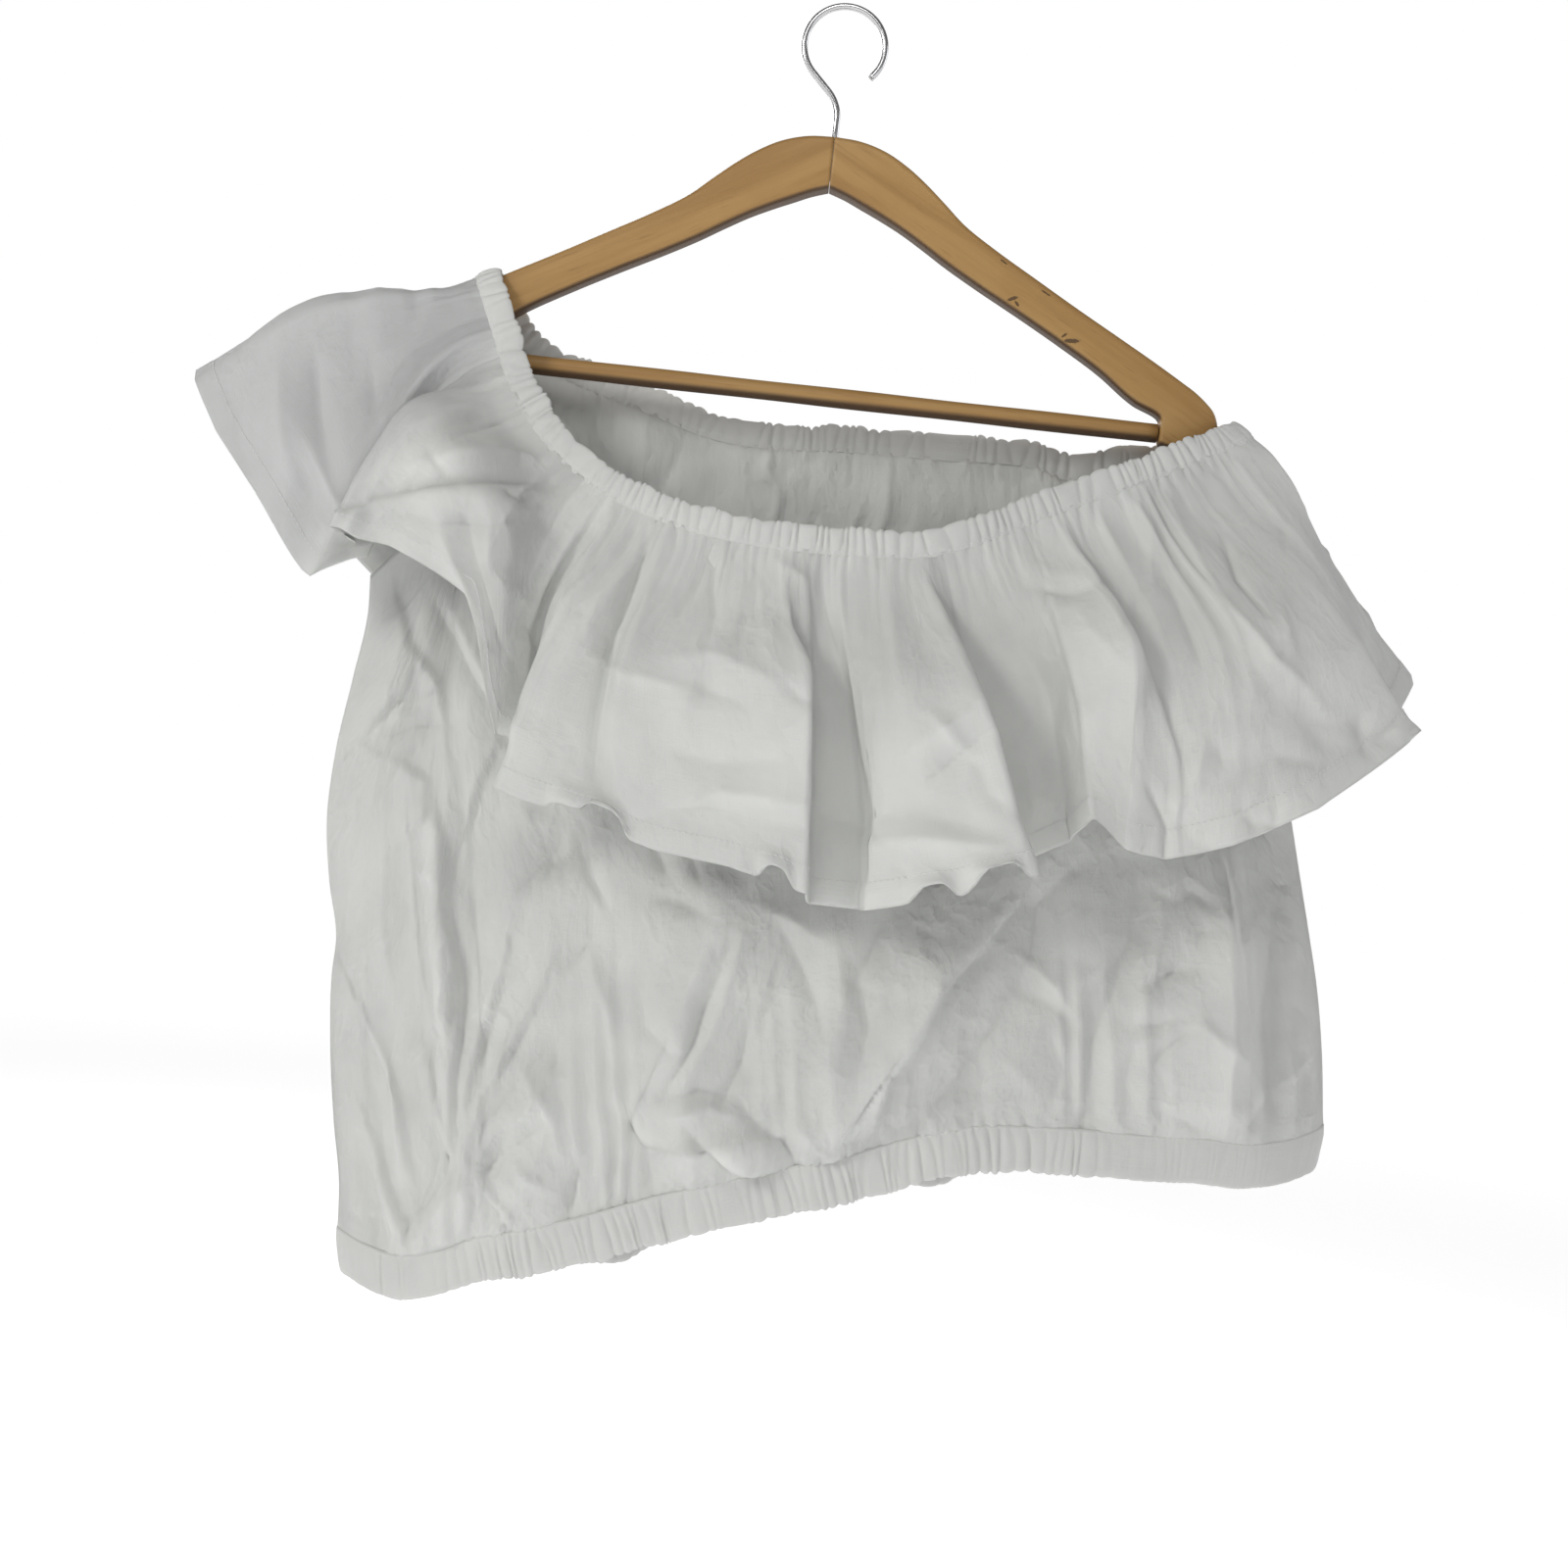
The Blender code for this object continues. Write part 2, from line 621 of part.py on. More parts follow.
def make_bar(material):
    turns = np.linspace(0, 2 * math.pi, BAR_SIDES, endpoint=False)
    sections = []
    for x in (-BAR_HALF, BAR_HALF):
        sections.append([
            np.array([x, BAR_RADIUS * math.cos(turn), BAR_Z + BAR_RADIUS * math.sin(turn)])
            for turn in turns
        ])
    return loft("hanger_bar", sections, material)


def hook_route():
    """Middle line of the wire, from the free end over the top and down into the wood."""
    radius = HOOK_INNER + HOOK_WIRE
    angles = np.radians(np.linspace(HOOK_END_ANGLE, HOOK_LEAVE_ANGLE, HOOK_STEPS))
    route = [
        np.array([radius * math.cos(angle), 0, -HOOK_INNER + radius * math.sin(angle)])
        for angle in angles
    ]
    leave = route[-1]
    heading = np.array([-math.sin(angles[-1]), 0, math.cos(angles[-1])])
    corner = leave + heading * (-leave[0] / heading[0])
    bend_in = corner - heading * HOOK_BEND
    bend_out = corner - np.array([0, 0, HOOK_BEND])
    for share in np.linspace(0, 1, BEND_STEPS):
        route.append((1 - share) ** 2 * bend_in + 2 * share * (1 - share) * corner
                     + share ** 2 * bend_out)
    route.append(np.array([0, 0, SHANK_FOOT]))
    return np.array(route)


def make_hook(material):
    route = hook_route()
    along = unit(np.gradient(route, axis=0))
    sections = []
    for point, heading in zip(route, along):
        across = np.cross(heading, (0, 1, 0))
        sections.append([
            point + HOOK_WIRE * (math.cos(turn) * across + math.sin(turn) * np.array([0, 1, 0]))
            for turn in np.linspace(0, 2 * math.pi, SHANK_SIDES, endpoint=False)
        ])
    return loft("hanger_hook", sections, material)


def drill_for_shank(arms):
    """The bore for the hook's shank, half of it in each arm."""
    foot = SHANK_FOOT - SHANK_CLEAR
    bpy.ops.mesh.primitive_cylinder_add(
        vertices=SHANK_SIDES, radius=(HOOK_WIRE + SHANK_CLEAR) * MM, depth=-foot * MM,
        location=(0, 0, foot / 2 * MM))
    drill = bpy.context.object
    drill.name = "shank_drill"
    drill.hide_render = True
    drill.display_type = "WIRE"
    for arm in arms:
        cut = arm.modifiers.new("shank bore", "BOOLEAN")
        cut.operation = "DIFFERENCE"
        cut.object = drill


def build():
    clear_scene()
    cotton = finish("cotton", COTTON)
    casing_cotton = finish("casing_cotton", CASING_COTTON)
    wood = finish("honey_wood", HONEY_WOOD)
    steel = finish("steel", STEEL)

    neck = Band(NECK_FRONT, NECK_BACK, NECK_CASING, 1,
                {half: neck_knots(half) for half in NECK_GATHERS})
    hem = Band(HEM_FRONT, HEM_BACK, HEM_CASING, -1, {half: spread(half) for half in HEM_GATHERS})
    left = (LEFT_SEAM, LEFT_SEAM_Y)
    right = (RIGHT_SEAM, RIGHT_SEAM_Y)

    for half in ("front", "back"):
        make_casing("neck_casing_" + half, neck, half, NECK_GATHERS[half], casing_cotton)
        make_casing("hem_casing_" + half, hem, half, HEM_GATHERS[half], casing_cotton)
    make_flounce("front_flounce", neck, "front", FRONT_RIBS, cotton)
    make_flounce("back_flounce", neck, "back", BACK_RIBS, cotton)
    make_body("front_body", "front", neck, hem, (left, right), FRONT_SET_BACK, FRONT_FOLDS,
              cotton)
    make_body("back_body", "back", neck, hem, (right, left), BACK_SET_OUT, BACK_FOLDS, cotton)

    arms = [make_arm("hanger_arm_left", -1, wood), make_arm("hanger_arm_right", 1, wood)]
    make_bar(wood)
    make_hook(steel)
    drill_for_shank(arms)


build()
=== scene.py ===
# Off-shoulder top of crisp white cotton with a deep flounce, hung askew on a honey-wood trouser
# hanger. X runs to the right, Y to the back and Z up, from the hook's inside. Tables and sizes
# are in millimetres, and MM turns them into the frame's metres.

import math

import bpy
import numpy as np
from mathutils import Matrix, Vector, noise
from mathutils.geometry import delaunay_2d_cdt


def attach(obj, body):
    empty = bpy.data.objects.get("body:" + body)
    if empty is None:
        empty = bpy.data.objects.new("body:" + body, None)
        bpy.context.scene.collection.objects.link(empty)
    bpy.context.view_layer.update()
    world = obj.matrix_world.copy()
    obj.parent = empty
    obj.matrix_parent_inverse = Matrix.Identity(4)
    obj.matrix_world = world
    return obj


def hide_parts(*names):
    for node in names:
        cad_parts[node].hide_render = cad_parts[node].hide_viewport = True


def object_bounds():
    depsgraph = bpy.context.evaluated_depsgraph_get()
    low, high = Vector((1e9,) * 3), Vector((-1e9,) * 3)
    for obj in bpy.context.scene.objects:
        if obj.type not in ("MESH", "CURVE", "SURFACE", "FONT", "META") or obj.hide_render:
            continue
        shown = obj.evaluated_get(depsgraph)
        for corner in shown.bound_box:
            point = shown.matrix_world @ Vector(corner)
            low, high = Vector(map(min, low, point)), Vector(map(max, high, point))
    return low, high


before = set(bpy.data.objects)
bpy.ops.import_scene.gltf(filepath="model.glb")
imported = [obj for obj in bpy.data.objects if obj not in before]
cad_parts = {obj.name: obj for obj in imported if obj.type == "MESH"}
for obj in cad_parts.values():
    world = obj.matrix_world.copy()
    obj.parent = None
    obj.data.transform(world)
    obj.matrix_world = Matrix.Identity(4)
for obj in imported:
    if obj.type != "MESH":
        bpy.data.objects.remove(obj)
cad_low, cad_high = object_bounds()

MM = 0.001


# Camera. The photo was taken square on to the top from just over a metre away, with the camera
# turned a little, so that the hanger seems to lean. The picture is 1600 pixels a side.

PICTURE = 1600
PIXELS_A_MM = 1.9
CAMERA_AWAY = 1100.0
CAMERA_AIM = (11.0, -417.0)
CAMERA_ROLL = -6.3
SENSOR = 36.0

lens = bpy.data.cameras.new("camera")
lens.sensor_width = SENSOR
lens.lens = SENSOR * CAMERA_AWAY / (PICTURE / PIXELS_A_MM)
lens.clip_end = 40
camera = bpy.data.objects.new("camera", lens)
camera.location = (CAMERA_AIM[0] * MM, -CAMERA_AWAY * MM, CAMERA_AIM[1] * MM)
camera.rotation_euler = (math.radians(90), math.radians(CAMERA_ROLL), 0)
bpy.context.scene.collection.objects.link(camera)
bpy.context.scene.camera = camera


# Studio. A white room with a pale floor under the hanging top. Soft lights stand high on the left
# and above in front, with weak ones on the right and one behind that keeps the back from going dark.

ROOM_WHITE = 1.0
ROOM_GLOW = 0.15
FLOOR_DROP = 260.0
FLOOR_RADIUS = 9.0
FLOOR_FADE = (0.5, 3.2)
FLOOR_SHADES = ((0.84, 0.84, 0.83, 1), (0.88, 0.88, 0.88, 1))
FLOOR_GLOW = (0.60, 0.60, 0.60, 1)
WHITE = (1, 1, 1, 1)
BLACK = (0, 0, 0, 1)
SOFT_LIGHTS = {
    # place and size in metres, power in watts
    "key": {"at": (-1.35, -1.35, 0.35), "size": 0.6, "power": 12.3, "tint": (1.0, 0.99, 0.965)},
    "top": {"at": (-0.2, -1.5, 0.95), "size": 0.8, "power": 7.2, "tint": (1.0, 0.995, 0.98)},
    "fill": {"at": (1.6, -1.2, 0.1), "size": 1.8, "power": 1.2, "tint": (0.96, 0.97, 1.0)},
    "back": {"at": (-0.9, 1.6, 0.5), "size": 1.2, "power": 19.0, "tint": (0.99, 0.99, 1.0)},
    "side": {"at": (1.8, 0.7, 0.3), "size": 1.2, "power": 9.0, "tint": (0.97, 0.98, 1.0)},
}

world = bpy.data.worlds.new("white room")
world.use_nodes = True
room_nodes = world.node_tree.nodes
room_links = world.node_tree.links
room_out = next(node for node in room_nodes if node.type == "OUTPUT_WORLD")
rays = room_nodes.new("ShaderNodeLightPath")
choose = room_nodes.new("ShaderNodeMixShader")
room_links.new(rays.outputs["Is Camera Ray"], choose.inputs[0])
for slot_number, strength in ((1, ROOM_GLOW), (2, ROOM_WHITE)):
    glow = room_nodes.new("ShaderNodeBackground")
    glow.inputs["Color"].default_value = WHITE
    glow.inputs["Strength"].default_value = strength
    room_links.new(glow.outputs[0], choose.inputs[slot_number])
room_links.new(choose.outputs[0], room_out.inputs["Surface"])
bpy.context.scene.world = world
bpy.context.scene.view_settings.view_transform = "Standard"

middle = Vector(((cad_low.x + cad_high.x) / 2, 0, (cad_low.z + cad_high.z) / 2))
for name, soft in SOFT_LIGHTS.items():
    lamp = bpy.data.lights.new(name, "AREA")
    lamp.shape = "DISK"
    lamp.size = soft["size"]
    lamp.energy = soft["power"]
    lamp.color = soft["tint"]
    holder = bpy.data.objects.new(name, lamp)
    holder.location = soft["at"]
    holder.rotation_euler = (middle - Vector(soft["at"])).to_track_quat("-Z", "Y").to_euler()
    bpy.context.scene.collection.objects.link(holder)

floor_mesh = bpy.data.meshes.new("floor")
floor_turns = np.linspace(0, 2 * math.pi, 64, endpoint=False)
floor_rim = [(FLOOR_RADIUS * math.cos(a), FLOOR_RADIUS * math.sin(a), 0) for a in floor_turns]
floor_mesh.from_pydata(floor_rim, [], [tuple(range(len(floor_rim)))])
floor = bpy.data.objects.new("floor", floor_mesh)
floor.location = (0, 0, cad_low.z - FLOOR_DROP * MM)
bpy.context.scene.collection.objects.link(floor)


class Wire:
    """One output of a material's nodes. Arithmetic with it adds the Math nodes."""

    def __init__(self, paint, socket):
        self.paint = paint
        self.socket = socket

    def maths(self, operation, *values):
        sockets = dict(enumerate(values or (self,)))
        return self.paint.node("Math", {"operation": operation}, sockets)

    def __add__(self, other):
        return self.maths("ADD", self, other)

    def __radd__(self, other):
        return self.maths("ADD", other, self)

    def __sub__(self, other):
        return self.maths("SUBTRACT", self, other)

    def __rsub__(self, other):
        return self.maths("SUBTRACT", other, self)

    def __mul__(self, other):
        return self.maths("MULTIPLY", self, other)

    def __rmul__(self, other):
        return self.maths("MULTIPLY", other, self)

    def sine(self):
        return self.maths("SINE")

    def smooth(self, low, high):
        """0 below low, 1 above high, and a soft step between them."""
        return self.paint.node(
            "MapRange", {"interpolation_type": "SMOOTHSTEP"},
            {"Value": self, "From Min": low, "From Max": high})


class Paint:
    """A material made from nodes, with constants set on the shader's own sockets."""

    def __init__(self, name, **constants):
        self.material = bpy.data.materials.new(name)
        self.material.use_nodes = True
        self.tree = self.material.node_tree
        self.shader = self.tree.nodes["Principled BSDF"]
        for socket, value in constants.items():
            self.shader.inputs[socket.replace("_", " ").title()].default_value = value

    def node(self, kind, settings, sockets, out=0):
        """Any node: its settings are set first, and then its sockets' values or links."""
        made = self.tree.nodes.new("ShaderNode" + kind)
        for setting, value in settings.items():
            if setting == "stops":
                self.set_stops(made.color_ramp, value)
            else:
                setattr(made, setting, value)
        for socket, value in sockets.items():
            self.plug(made.inputs[socket], value)
        return Wire(self, made.outputs[out])

    def set_stops(self, ramp, stops):
        while len(ramp.elements) < len(stops):
            ramp.elements.new(1.0)
        for element, (place, colour) in zip(ramp.elements, stops):
            element.position = place
            element.color = colour

    def plug(self, socket, value):
        if isinstance(value, Wire):
            self.tree.links.new(value.socket, socket)
        else:
            socket.default_value = value

    def mix(self, share, first, second):
        """A colour between two others."""
        return self.node("Mix", {"data_type": "RGBA"}, {0: share, 6: first, 7: second}, out=2)

    def mottle(self, where, scale, detail=3.0):
        """Soft patches from 0 to 1."""
        return self.node("TexNoise", {}, {"Vector": where, "Scale": scale, "Detail": detail})

    def place(self):
        """The point's own place on the object, in metres."""
        return self.node("TexCoord", {}, {}, out="Object")

    def axis(self, vector, name):
        return self.node("SeparateXYZ", {}, {0: vector}, out=name)

    def bump(self, height, depth):
        """A normal from a height of 0 to 1 and its depth in millimetres."""
        return self.node("Bump", {}, {"Distance": depth * MM, "Height": height})

    def finish(self, **links):
        for socket, value in links.items():
            self.plug(self.shader.inputs[socket.replace("_", " ").title()], value)
        return self.material


floor_paint = Paint("pale floor", roughness=0.9, emission_strength=1.0)
floor_spot = floor_paint.place()
floor_away = floor_paint.node("VectorMath", {"operation": "LENGTH"}, {0: floor_spot}, out="Value")
floor_far = floor_away.smooth(*FLOOR_FADE)
floor_pale = floor_paint.mix(floor_paint.mottle(floor_spot, 0.8), *FLOOR_SHADES)
floor_mesh.materials.append(floor_paint.finish(
    base_color=floor_paint.mix(floor_far, floor_pale, BLACK),
    emission_color=floor_paint.mix(floor_far, FLOOR_GLOW, WHITE)))


# Hook. One bent length of polished steel wire: the free end is rounded, and the straight shank
# goes down into a bore between the two wooden arms, where it can turn.

HOOK_WIRE = 1.75
HOOK_INNER = 20.0
HOOK_ANGLES = (-40.0, 225.0)
HOOK_BEND = 9.0
SHANK_FOOT = -92.0
WIRE_SIDES = 20
WIRE_END = (0.2, 0.6, 0.9)
STEEL = (0.62, 0.62, 0.63, 1)


def unit(vectors):
    vectors = np.asarray(vectors, float)
    return vectors / np.maximum(np.linalg.norm(vectors, axis=-1, keepdims=True), 1e-9)


def add_piece(name, points, faces, material):
    """A smooth-shaded mesh piece that rides on the only body."""
    mesh = bpy.data.meshes.new(name)
    mesh.from_pydata((np.asarray(points) * MM).tolist(), [], faces)
    mesh.materials.append(material)
    mesh.shade_smooth()
    piece = bpy.data.objects.new(name, mesh)
    bpy.context.scene.collection.objects.link(piece)
    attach(piece, "root")
    return piece


def loft(name, sections, material):
    """A closed skin through sections with the same number of points, capped at both ends."""
    size = len(sections[0])
    points = np.concatenate(sections)
    faces = [tuple(range(size)), tuple(range(len(points) - 1, len(points) - size - 1, -1))]
    for row in range(len(sections) - 1):
        first = row * size
        for k in range(size):
            turn = (k + 1) % size
            faces.append((first + turn, first + k, first + size + k, first + size + turn))
    return add_piece(name, points, faces, material)


def round_section(middle, across, radius, sides):
    turns = np.linspace(0, 2 * math.pi, sides, endpoint=False)[:, None]
    return middle + radius * (np.cos(turns) * across + np.sin(turns) * np.array([0, 1, 0]))


hook_angles = np.radians(np.linspace(*HOOK_ANGLES, 72))
hook_radius = HOOK_INNER + HOOK_WIRE
hook_route = [
    np.array([hook_radius * math.cos(a), 0, -HOOK_INNER + hook_radius * math.sin(a)])
    for a in hook_angles
]
heading = np.array([-math.sin(hook_angles[-1]), 0, math.cos(hook_angles[-1])])
corner = hook_route[-1] + heading * (-hook_route[-1][0] / heading[0])
bend_in = corner - heading * HOOK_BEND
bend_out = corner - np.array([0, 0, HOOK_BEND])
for share in np.linspace(0, 1, 18):
    hook_route.append((1 - share) ** 2 * bend_in + 2 * share * (1 - share) * corner
                      + share ** 2 * bend_out)
hook_route.append(np.array([0, 0, SHANK_FOOT]))
hook_route = np.array(hook_route)
hook_heading = unit(np.gradient(hook_route, axis=0))
hook_across = np.cross(hook_heading, (0, 1, 0))
hook_sections = []
for share in WIRE_END:
    girth = math.sin(share * math.pi / 2)
    back = hook_heading[0] * HOOK_WIRE * (1 - girth)
    hook_sections.append(round_section(
        hook_route[0] + back - hook_heading[0] * HOOK_WIRE, hook_across[0],
        HOOK_WIRE * girth, WIRE_SIDES))
for point, across in zip(hook_route, hook_across):
    hook_sections.append(round_section(point, across, HOOK_WIRE, WIRE_SIDES))

steel = Paint("steel", base_color=STEEL, metallic=1.0)
steel_streak = steel.mottle(steel.place(), 900.0, detail=2.0)
steel_paint = steel.finish(
    roughness=0.16 + 0.16 * steel_streak, normal=steel.bump(steel_streak, 0.02))
hook = loft("hook_wire", hook_sections, steel_paint)
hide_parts("hanger_hook")


# Arms and bar. Two arms of honey-coloured, varnished wood meet at the middle under the hook, and a
# round bar is let into their tips. The right arm is nicked, and their undersides are painted dark,
# partly as dark varnish and partly as painted shade.

ARM_SECTIONS = (
    # upper edge x and z, lower edge x and z, thickness
    (0.15, -70, 0.15, -98, 14),
    (14, -71, 9, -101, 14),
    (28, -75, 18, -105, 14),
    (41, -82, 29, -110, 13.5),
    (52, -90, 41, -116, 13),
    (62, -98.5, 53, -123, 13),
    (74, -109, 66, -131, 13),
    (92, -120.5, 84, -141, 13),
    (115, -133.5, 107, -153, 13),
    (140, -147.5, 131, -166, 13),
    (165, -161, 155, -180, 13),
    (186, -172.5, 175, -194, 13),
    (199, -180, 189.5, -201, 13),
    (207, -184.8, 190, -208, 13),
    (213, -189.4, 191.5, -214.5, 12.5),
    (218, -194.5, 202, -216, 12),
    (220.5, -200, 211, -214, 10.5),
    (221.5, -204, 216, -211, 8),
)
ARM_ROUND = 3.0
ARM_TILT = 28.5
BAR_RADIUS = 5.3
BAR_Z = -208.0
BAR_HALF = 189.2
BAR_WOBBLE = 0.12
BAR_WOBBLE_RUN = 17.0
NICKS = (
    # x, z, half length, half width, turn in degrees
    (104, -146, 3.2, 0.9, 25),
    (106.5, -148.5, 1.6, 0.7, -50),
    (138, -165, 4.0, 1.2, 5),
    (133.5, -162.5, 2.0, 0.6, 40),
    (97, -127, 2.4, 0.4, -30),
    (121, -141, 3.0, 0.4, -28),
)
WOOD_LIGHT = (0.42, 0.245, 0.082, 1)
WOOD_MID = (0.335, 0.182, 0.055, 1)
WOOD_GRAIN = (0.24, 0.115, 0.032, 1)
WOOD_SHADE_AND_NICKS = (0.055, 0.027, 0.012, 1)
WOOD_SCALES = {"bands": 130.0, "pores": 900.0, "patches": 22.0, "splinters": 700.0}
FIBRE_STRETCH = (0.05, 1.0, 1.0)


def smooth_through(rows, closed=False):
    """A smooth curve through rows of numbers; it takes places 0, 1, 2 ... at the rows."""
    rows = np.asarray(rows, float)
    count = len(rows)
    if closed:
        before = np.roll(rows, 1, axis=0)
        after = np.roll(rows, -1, axis=0)
        last = count
    else:
        before = np.vstack([2 * rows[0] - rows[1], rows[:-1]])
        after = np.vstack([rows[1:], 2 * rows[-1] - rows[-2]])
        last = count - 1
    step_in = np.maximum(np.linalg.norm((rows - before)[:, :3], axis=1), 1e-6)[:, None]
    step_out = np.maximum(np.linalg.norm((after - rows)[:, :3], axis=1), 1e-6)[:, None]
    slope = (rows - before) / step_in * step_out + (after - rows) / step_out * step_in
    slope = slope / (step_in + step_out)

    def at(places):
        places = np.clip(np.asarray(places, float), 0, last)
        first = np.minimum(np.floor(places).astype(int), last - 1)
        part = (places - first)[..., None]
        second = (first + 1) % count
        length = step_out[first]
        start = (2 * part ** 3 - 3 * part ** 2 + 1) * rows[first]
        start = start + (part ** 3 - 2 * part ** 2 + part) * length * slope[first]
        end = (3 * part ** 2 - 2 * part ** 3) * rows[second]
        return start + end + (part ** 3 - part ** 2) * length * slope[second]

    return at


def honey_wood(name, tilt, nicks=()):
    """Varnished wood whose grain runs along a direction tilted down by so many degrees."""
    wood = Paint(name, coat_weight=0.08, coat_roughness=0.25)
    place = wood.place()
    along = wood.node(
        "VectorRotate", {"rotation_type": "Y_AXIS"},
        {"Vector": place, "Angle": -math.radians(tilt)})
    fibre = wood.node("VectorMath", {"operation": "MULTIPLY"}, {0: along, 1: FIBRE_STRETCH})
    bands = wood.mottle(fibre, WOOD_SCALES["bands"], detail=5.0)
    pores = wood.mottle(fibre, WOOD_SCALES["pores"], detail=2.0)
    patches = wood.mottle(along, WOOD_SCALES["patches"])
    colour = wood.mix(bands.smooth(0.35, 0.68), WOOD_LIGHT, WOOD_MID)
    colour = wood.mix(pores.smooth(0.60, 0.78) * 0.55, colour, WOOD_GRAIN)
    colour = wood.mix(patches.smooth(0.45, 0.75) * 0.35, colour, WOOD_MID)
    # Painted shade and dark varnish: faces turned downwards are painted near black-brown, the more so
    # the more they face down.
    facing = wood.node("NewGeometry", {}, {}, out="Normal")
    under = (0 - wood.axis(facing, "Z")).smooth(0.15, 0.7)
    colour = wood.mix(under * 0.92, colour, WOOD_SHADE_AND_NICKS)
    height = bands * 0.4 + pores * 0.6
    x = wood.axis(place, "X") * 1000
    z = wood.axis(place, "Z") * 1000
    rough_edge = wood.mottle(place, WOOD_SCALES["splinters"]) - 0.5
    for nick_x, nick_z, long, wide, turn in nicks:
        cos, sin = math.cos(math.radians(turn)), math.sin(math.radians(turn))
        run = ((x - nick_x) * cos + (z - nick_z) * sin) * (1 / long)
        side = ((z - nick_z) * cos - (x - nick_x) * sin) * (1 / wide)
        hurt = 1 - (run * run + side * side + rough_edge * 1.6).smooth(0.5, 1.3)
        colour = wood.mix(hurt * 0.85, colour, WOOD_SHADE_AND_NICKS)
        height = height - hurt * 3
    return wood.finish(
        base_color=colour, roughness=0.46 + 0.22 * bands, normal=wood.bump(height, 0.12))


arm_curve = smooth_through(np.array(ARM_SECTIONS)[:, (0, 4, 1, 2, 3)])
ARM_PLACES = np.linspace(0, len(ARM_SECTIONS) - 1, 120)


def arm_section(top, low, thick):
    """A rectangle with rounded corners, stood on the line from the lower to the upper edge."""
    rise = unit(top - low)
    tall = np.linalg.norm(top - low) / 2
    radius = min(ARM_ROUND, tall * 0.6, thick * 0.4)
    section = []
    for number, (up, back) in enumerate(((1, 1), (-1, 1), (-1, -1), (1, -1))):
        for step in range(7):
            turn = math.radians(15 * step + 90 * number)
            out_up = tall - radius + radius * abs(math.cos(turn))
            out_back = thick / 2 - radius + radius * abs(math.sin(turn))
            section.append((top + low) / 2 + rise * up * out_up + np.array([0, back * out_back, 0]))
    return np.array(section)


for name, side, nicks in (("arm_left", -1, ()), ("arm_right", 1, NICKS)):
    sections = []
    for top_x, thick, top_z, low_x, low_z in arm_curve(ARM_PLACES):
        top = np.array([side * max(top_x, 0.15), 0, top_z])
        low = np.array([side * max(low_x, 0.15), 0, low_z])
        sections.append(arm_section(top, low, thick))
    if side < 0:
        sections = sections[::-1]
    arm = loft("wooden_" + name, sections, honey_wood("wood of the " + name, side * ARM_TILT, nicks))
    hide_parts("hanger_" + name)

bar_sections = []
for x in np.linspace(-BAR_HALF, BAR_HALF, 60):
    girth = BAR_RADIUS - BAR_WOBBLE + BAR_WOBBLE * math.sin(x / BAR_WOBBLE_RUN)
    bar_sections.append(round_section(np.array([x, 0, BAR_Z]), np.array([0, 0, 1]), girth, 28))
bar = loft("wooden_bar", bar_sections, honey_wood("wood of the bar", 0))
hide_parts("hanger_bar")


# Neck casing. A doubled band of the same cotton, stitched shut over an elastic that gathers it in
# sharp, uneven little pleats. The top hangs on the arms by it, low at the middle of the front.

CLOTH = 0.45
NECK_WIDTH = 14.0
NECK_THICK = 3.2
SEAM_GAP = 0.3
NECK_GATHERS = {"front": 60, "back": 40}
NECK_PLEATS = {"front": 92, "back": 62}
COLUMNS_A_GATHER = 7
RUFFLE = 0.6
NECK_FRONT = (
    # x, y and z of the band's upper edge, and the way it falls, in degrees towards +X
    (-171, 0, -159.8, -60),
    (-170, -6.5, -160.8, -62),
    (-167, -11.2, -166.5, -65),
    (-163, -14, -175, -66),
    (-155, -18, -193, -67),
    (-143, -23, -219, -59),
    (-127, -28, -240, -47),
    (-108, -34, -257, -34),
    (-82, -40, -270, -20),
    (-45, -46, -280, -10),
    (-4, -50, -284, -2),
    (37, -50, -283, 4),
    (72, -48, -279, 15),
    (101, -44, -266, 26),
    (136, -36, -247, 27),
    (171, -27, -230, 27),
    (200, -18, -214, 31),
    (217, -13.5, -205, 42),
    (226, -8.5, -200.5, 54),
)
NECK_BACK = (
    (229, 0, -198.5, 58),
    (226, 8.5, -200.5, 54),
    (216, 14, -205, 42),
    (192, 18, -212, 18),
    (166, 21, -215, 5),
    (151, 23, -221, 0),
    (127, 25, -216, 0),
    (76, 27, -217, 0),
    (22, 28, -218, 0),
    (-16, 28, -221, 0),
    (-43, 27, -220, -5),
    (-77, 26, -211, -15),
    (-121, 23, -199, -22),
    (-144, 18, -191, -38),
    (-158, 14.5, -178, -52),
    (-166, 11.2, -167, -57),
    (-170, 6.5, -160.8, -60),
)
COTTON_WHITE = (0.79, 0.80, 0.775, 1)
COTTON_GREY = (0.73, 0.74, 0.72, 1)
PAINTED_SHADE_GREY = (0.62, 0.63, 0.63, 1)
PAINTED_SHADE_LINE = (-0.85, 0.53, -26.0)
PAINTED_SHADE_FADE = (-4.0, 16.0)
BEHIND_FADE = (0.0, 30.0)
CASING_WHITE = (0.78, 0.785, 0.765, 1)
CASING_GREY = (0.73, 0.735, 0.72, 1)
THREAD_WHITE = (0.84, 0.84, 0.83, 1)
THREAD_GREY = (0.72, 0.72, 0.72, 1)
THREADS_A_MM = 2.4
COTTON_SCALES = {
    # how many of each there are in a millimetre of cloth
    "slubs": 0.9, "patches": 0.022, "drift": 0.03, "crushed": 0.045, "facets": 0.042,
    "small facets": 0.10, "worn": 0.012,
}
HANG_STRETCH = (1, 0.55, 1)
FACET_DRIFT = 34.0
STITCH = 2.3
STITCH_GAP = 0.8
STITCH_THREAD = 0.22
STITCH_SIDES = 6
TUBE_SIDES = 22
TUBE_SQUARE = (0.7, 0.6)
PINCH = (0.35, 0.06)
EDGE_RUFFLE = 1.1
NECK_STITCHED = 0.86
HEM_STITCHED = 0.92


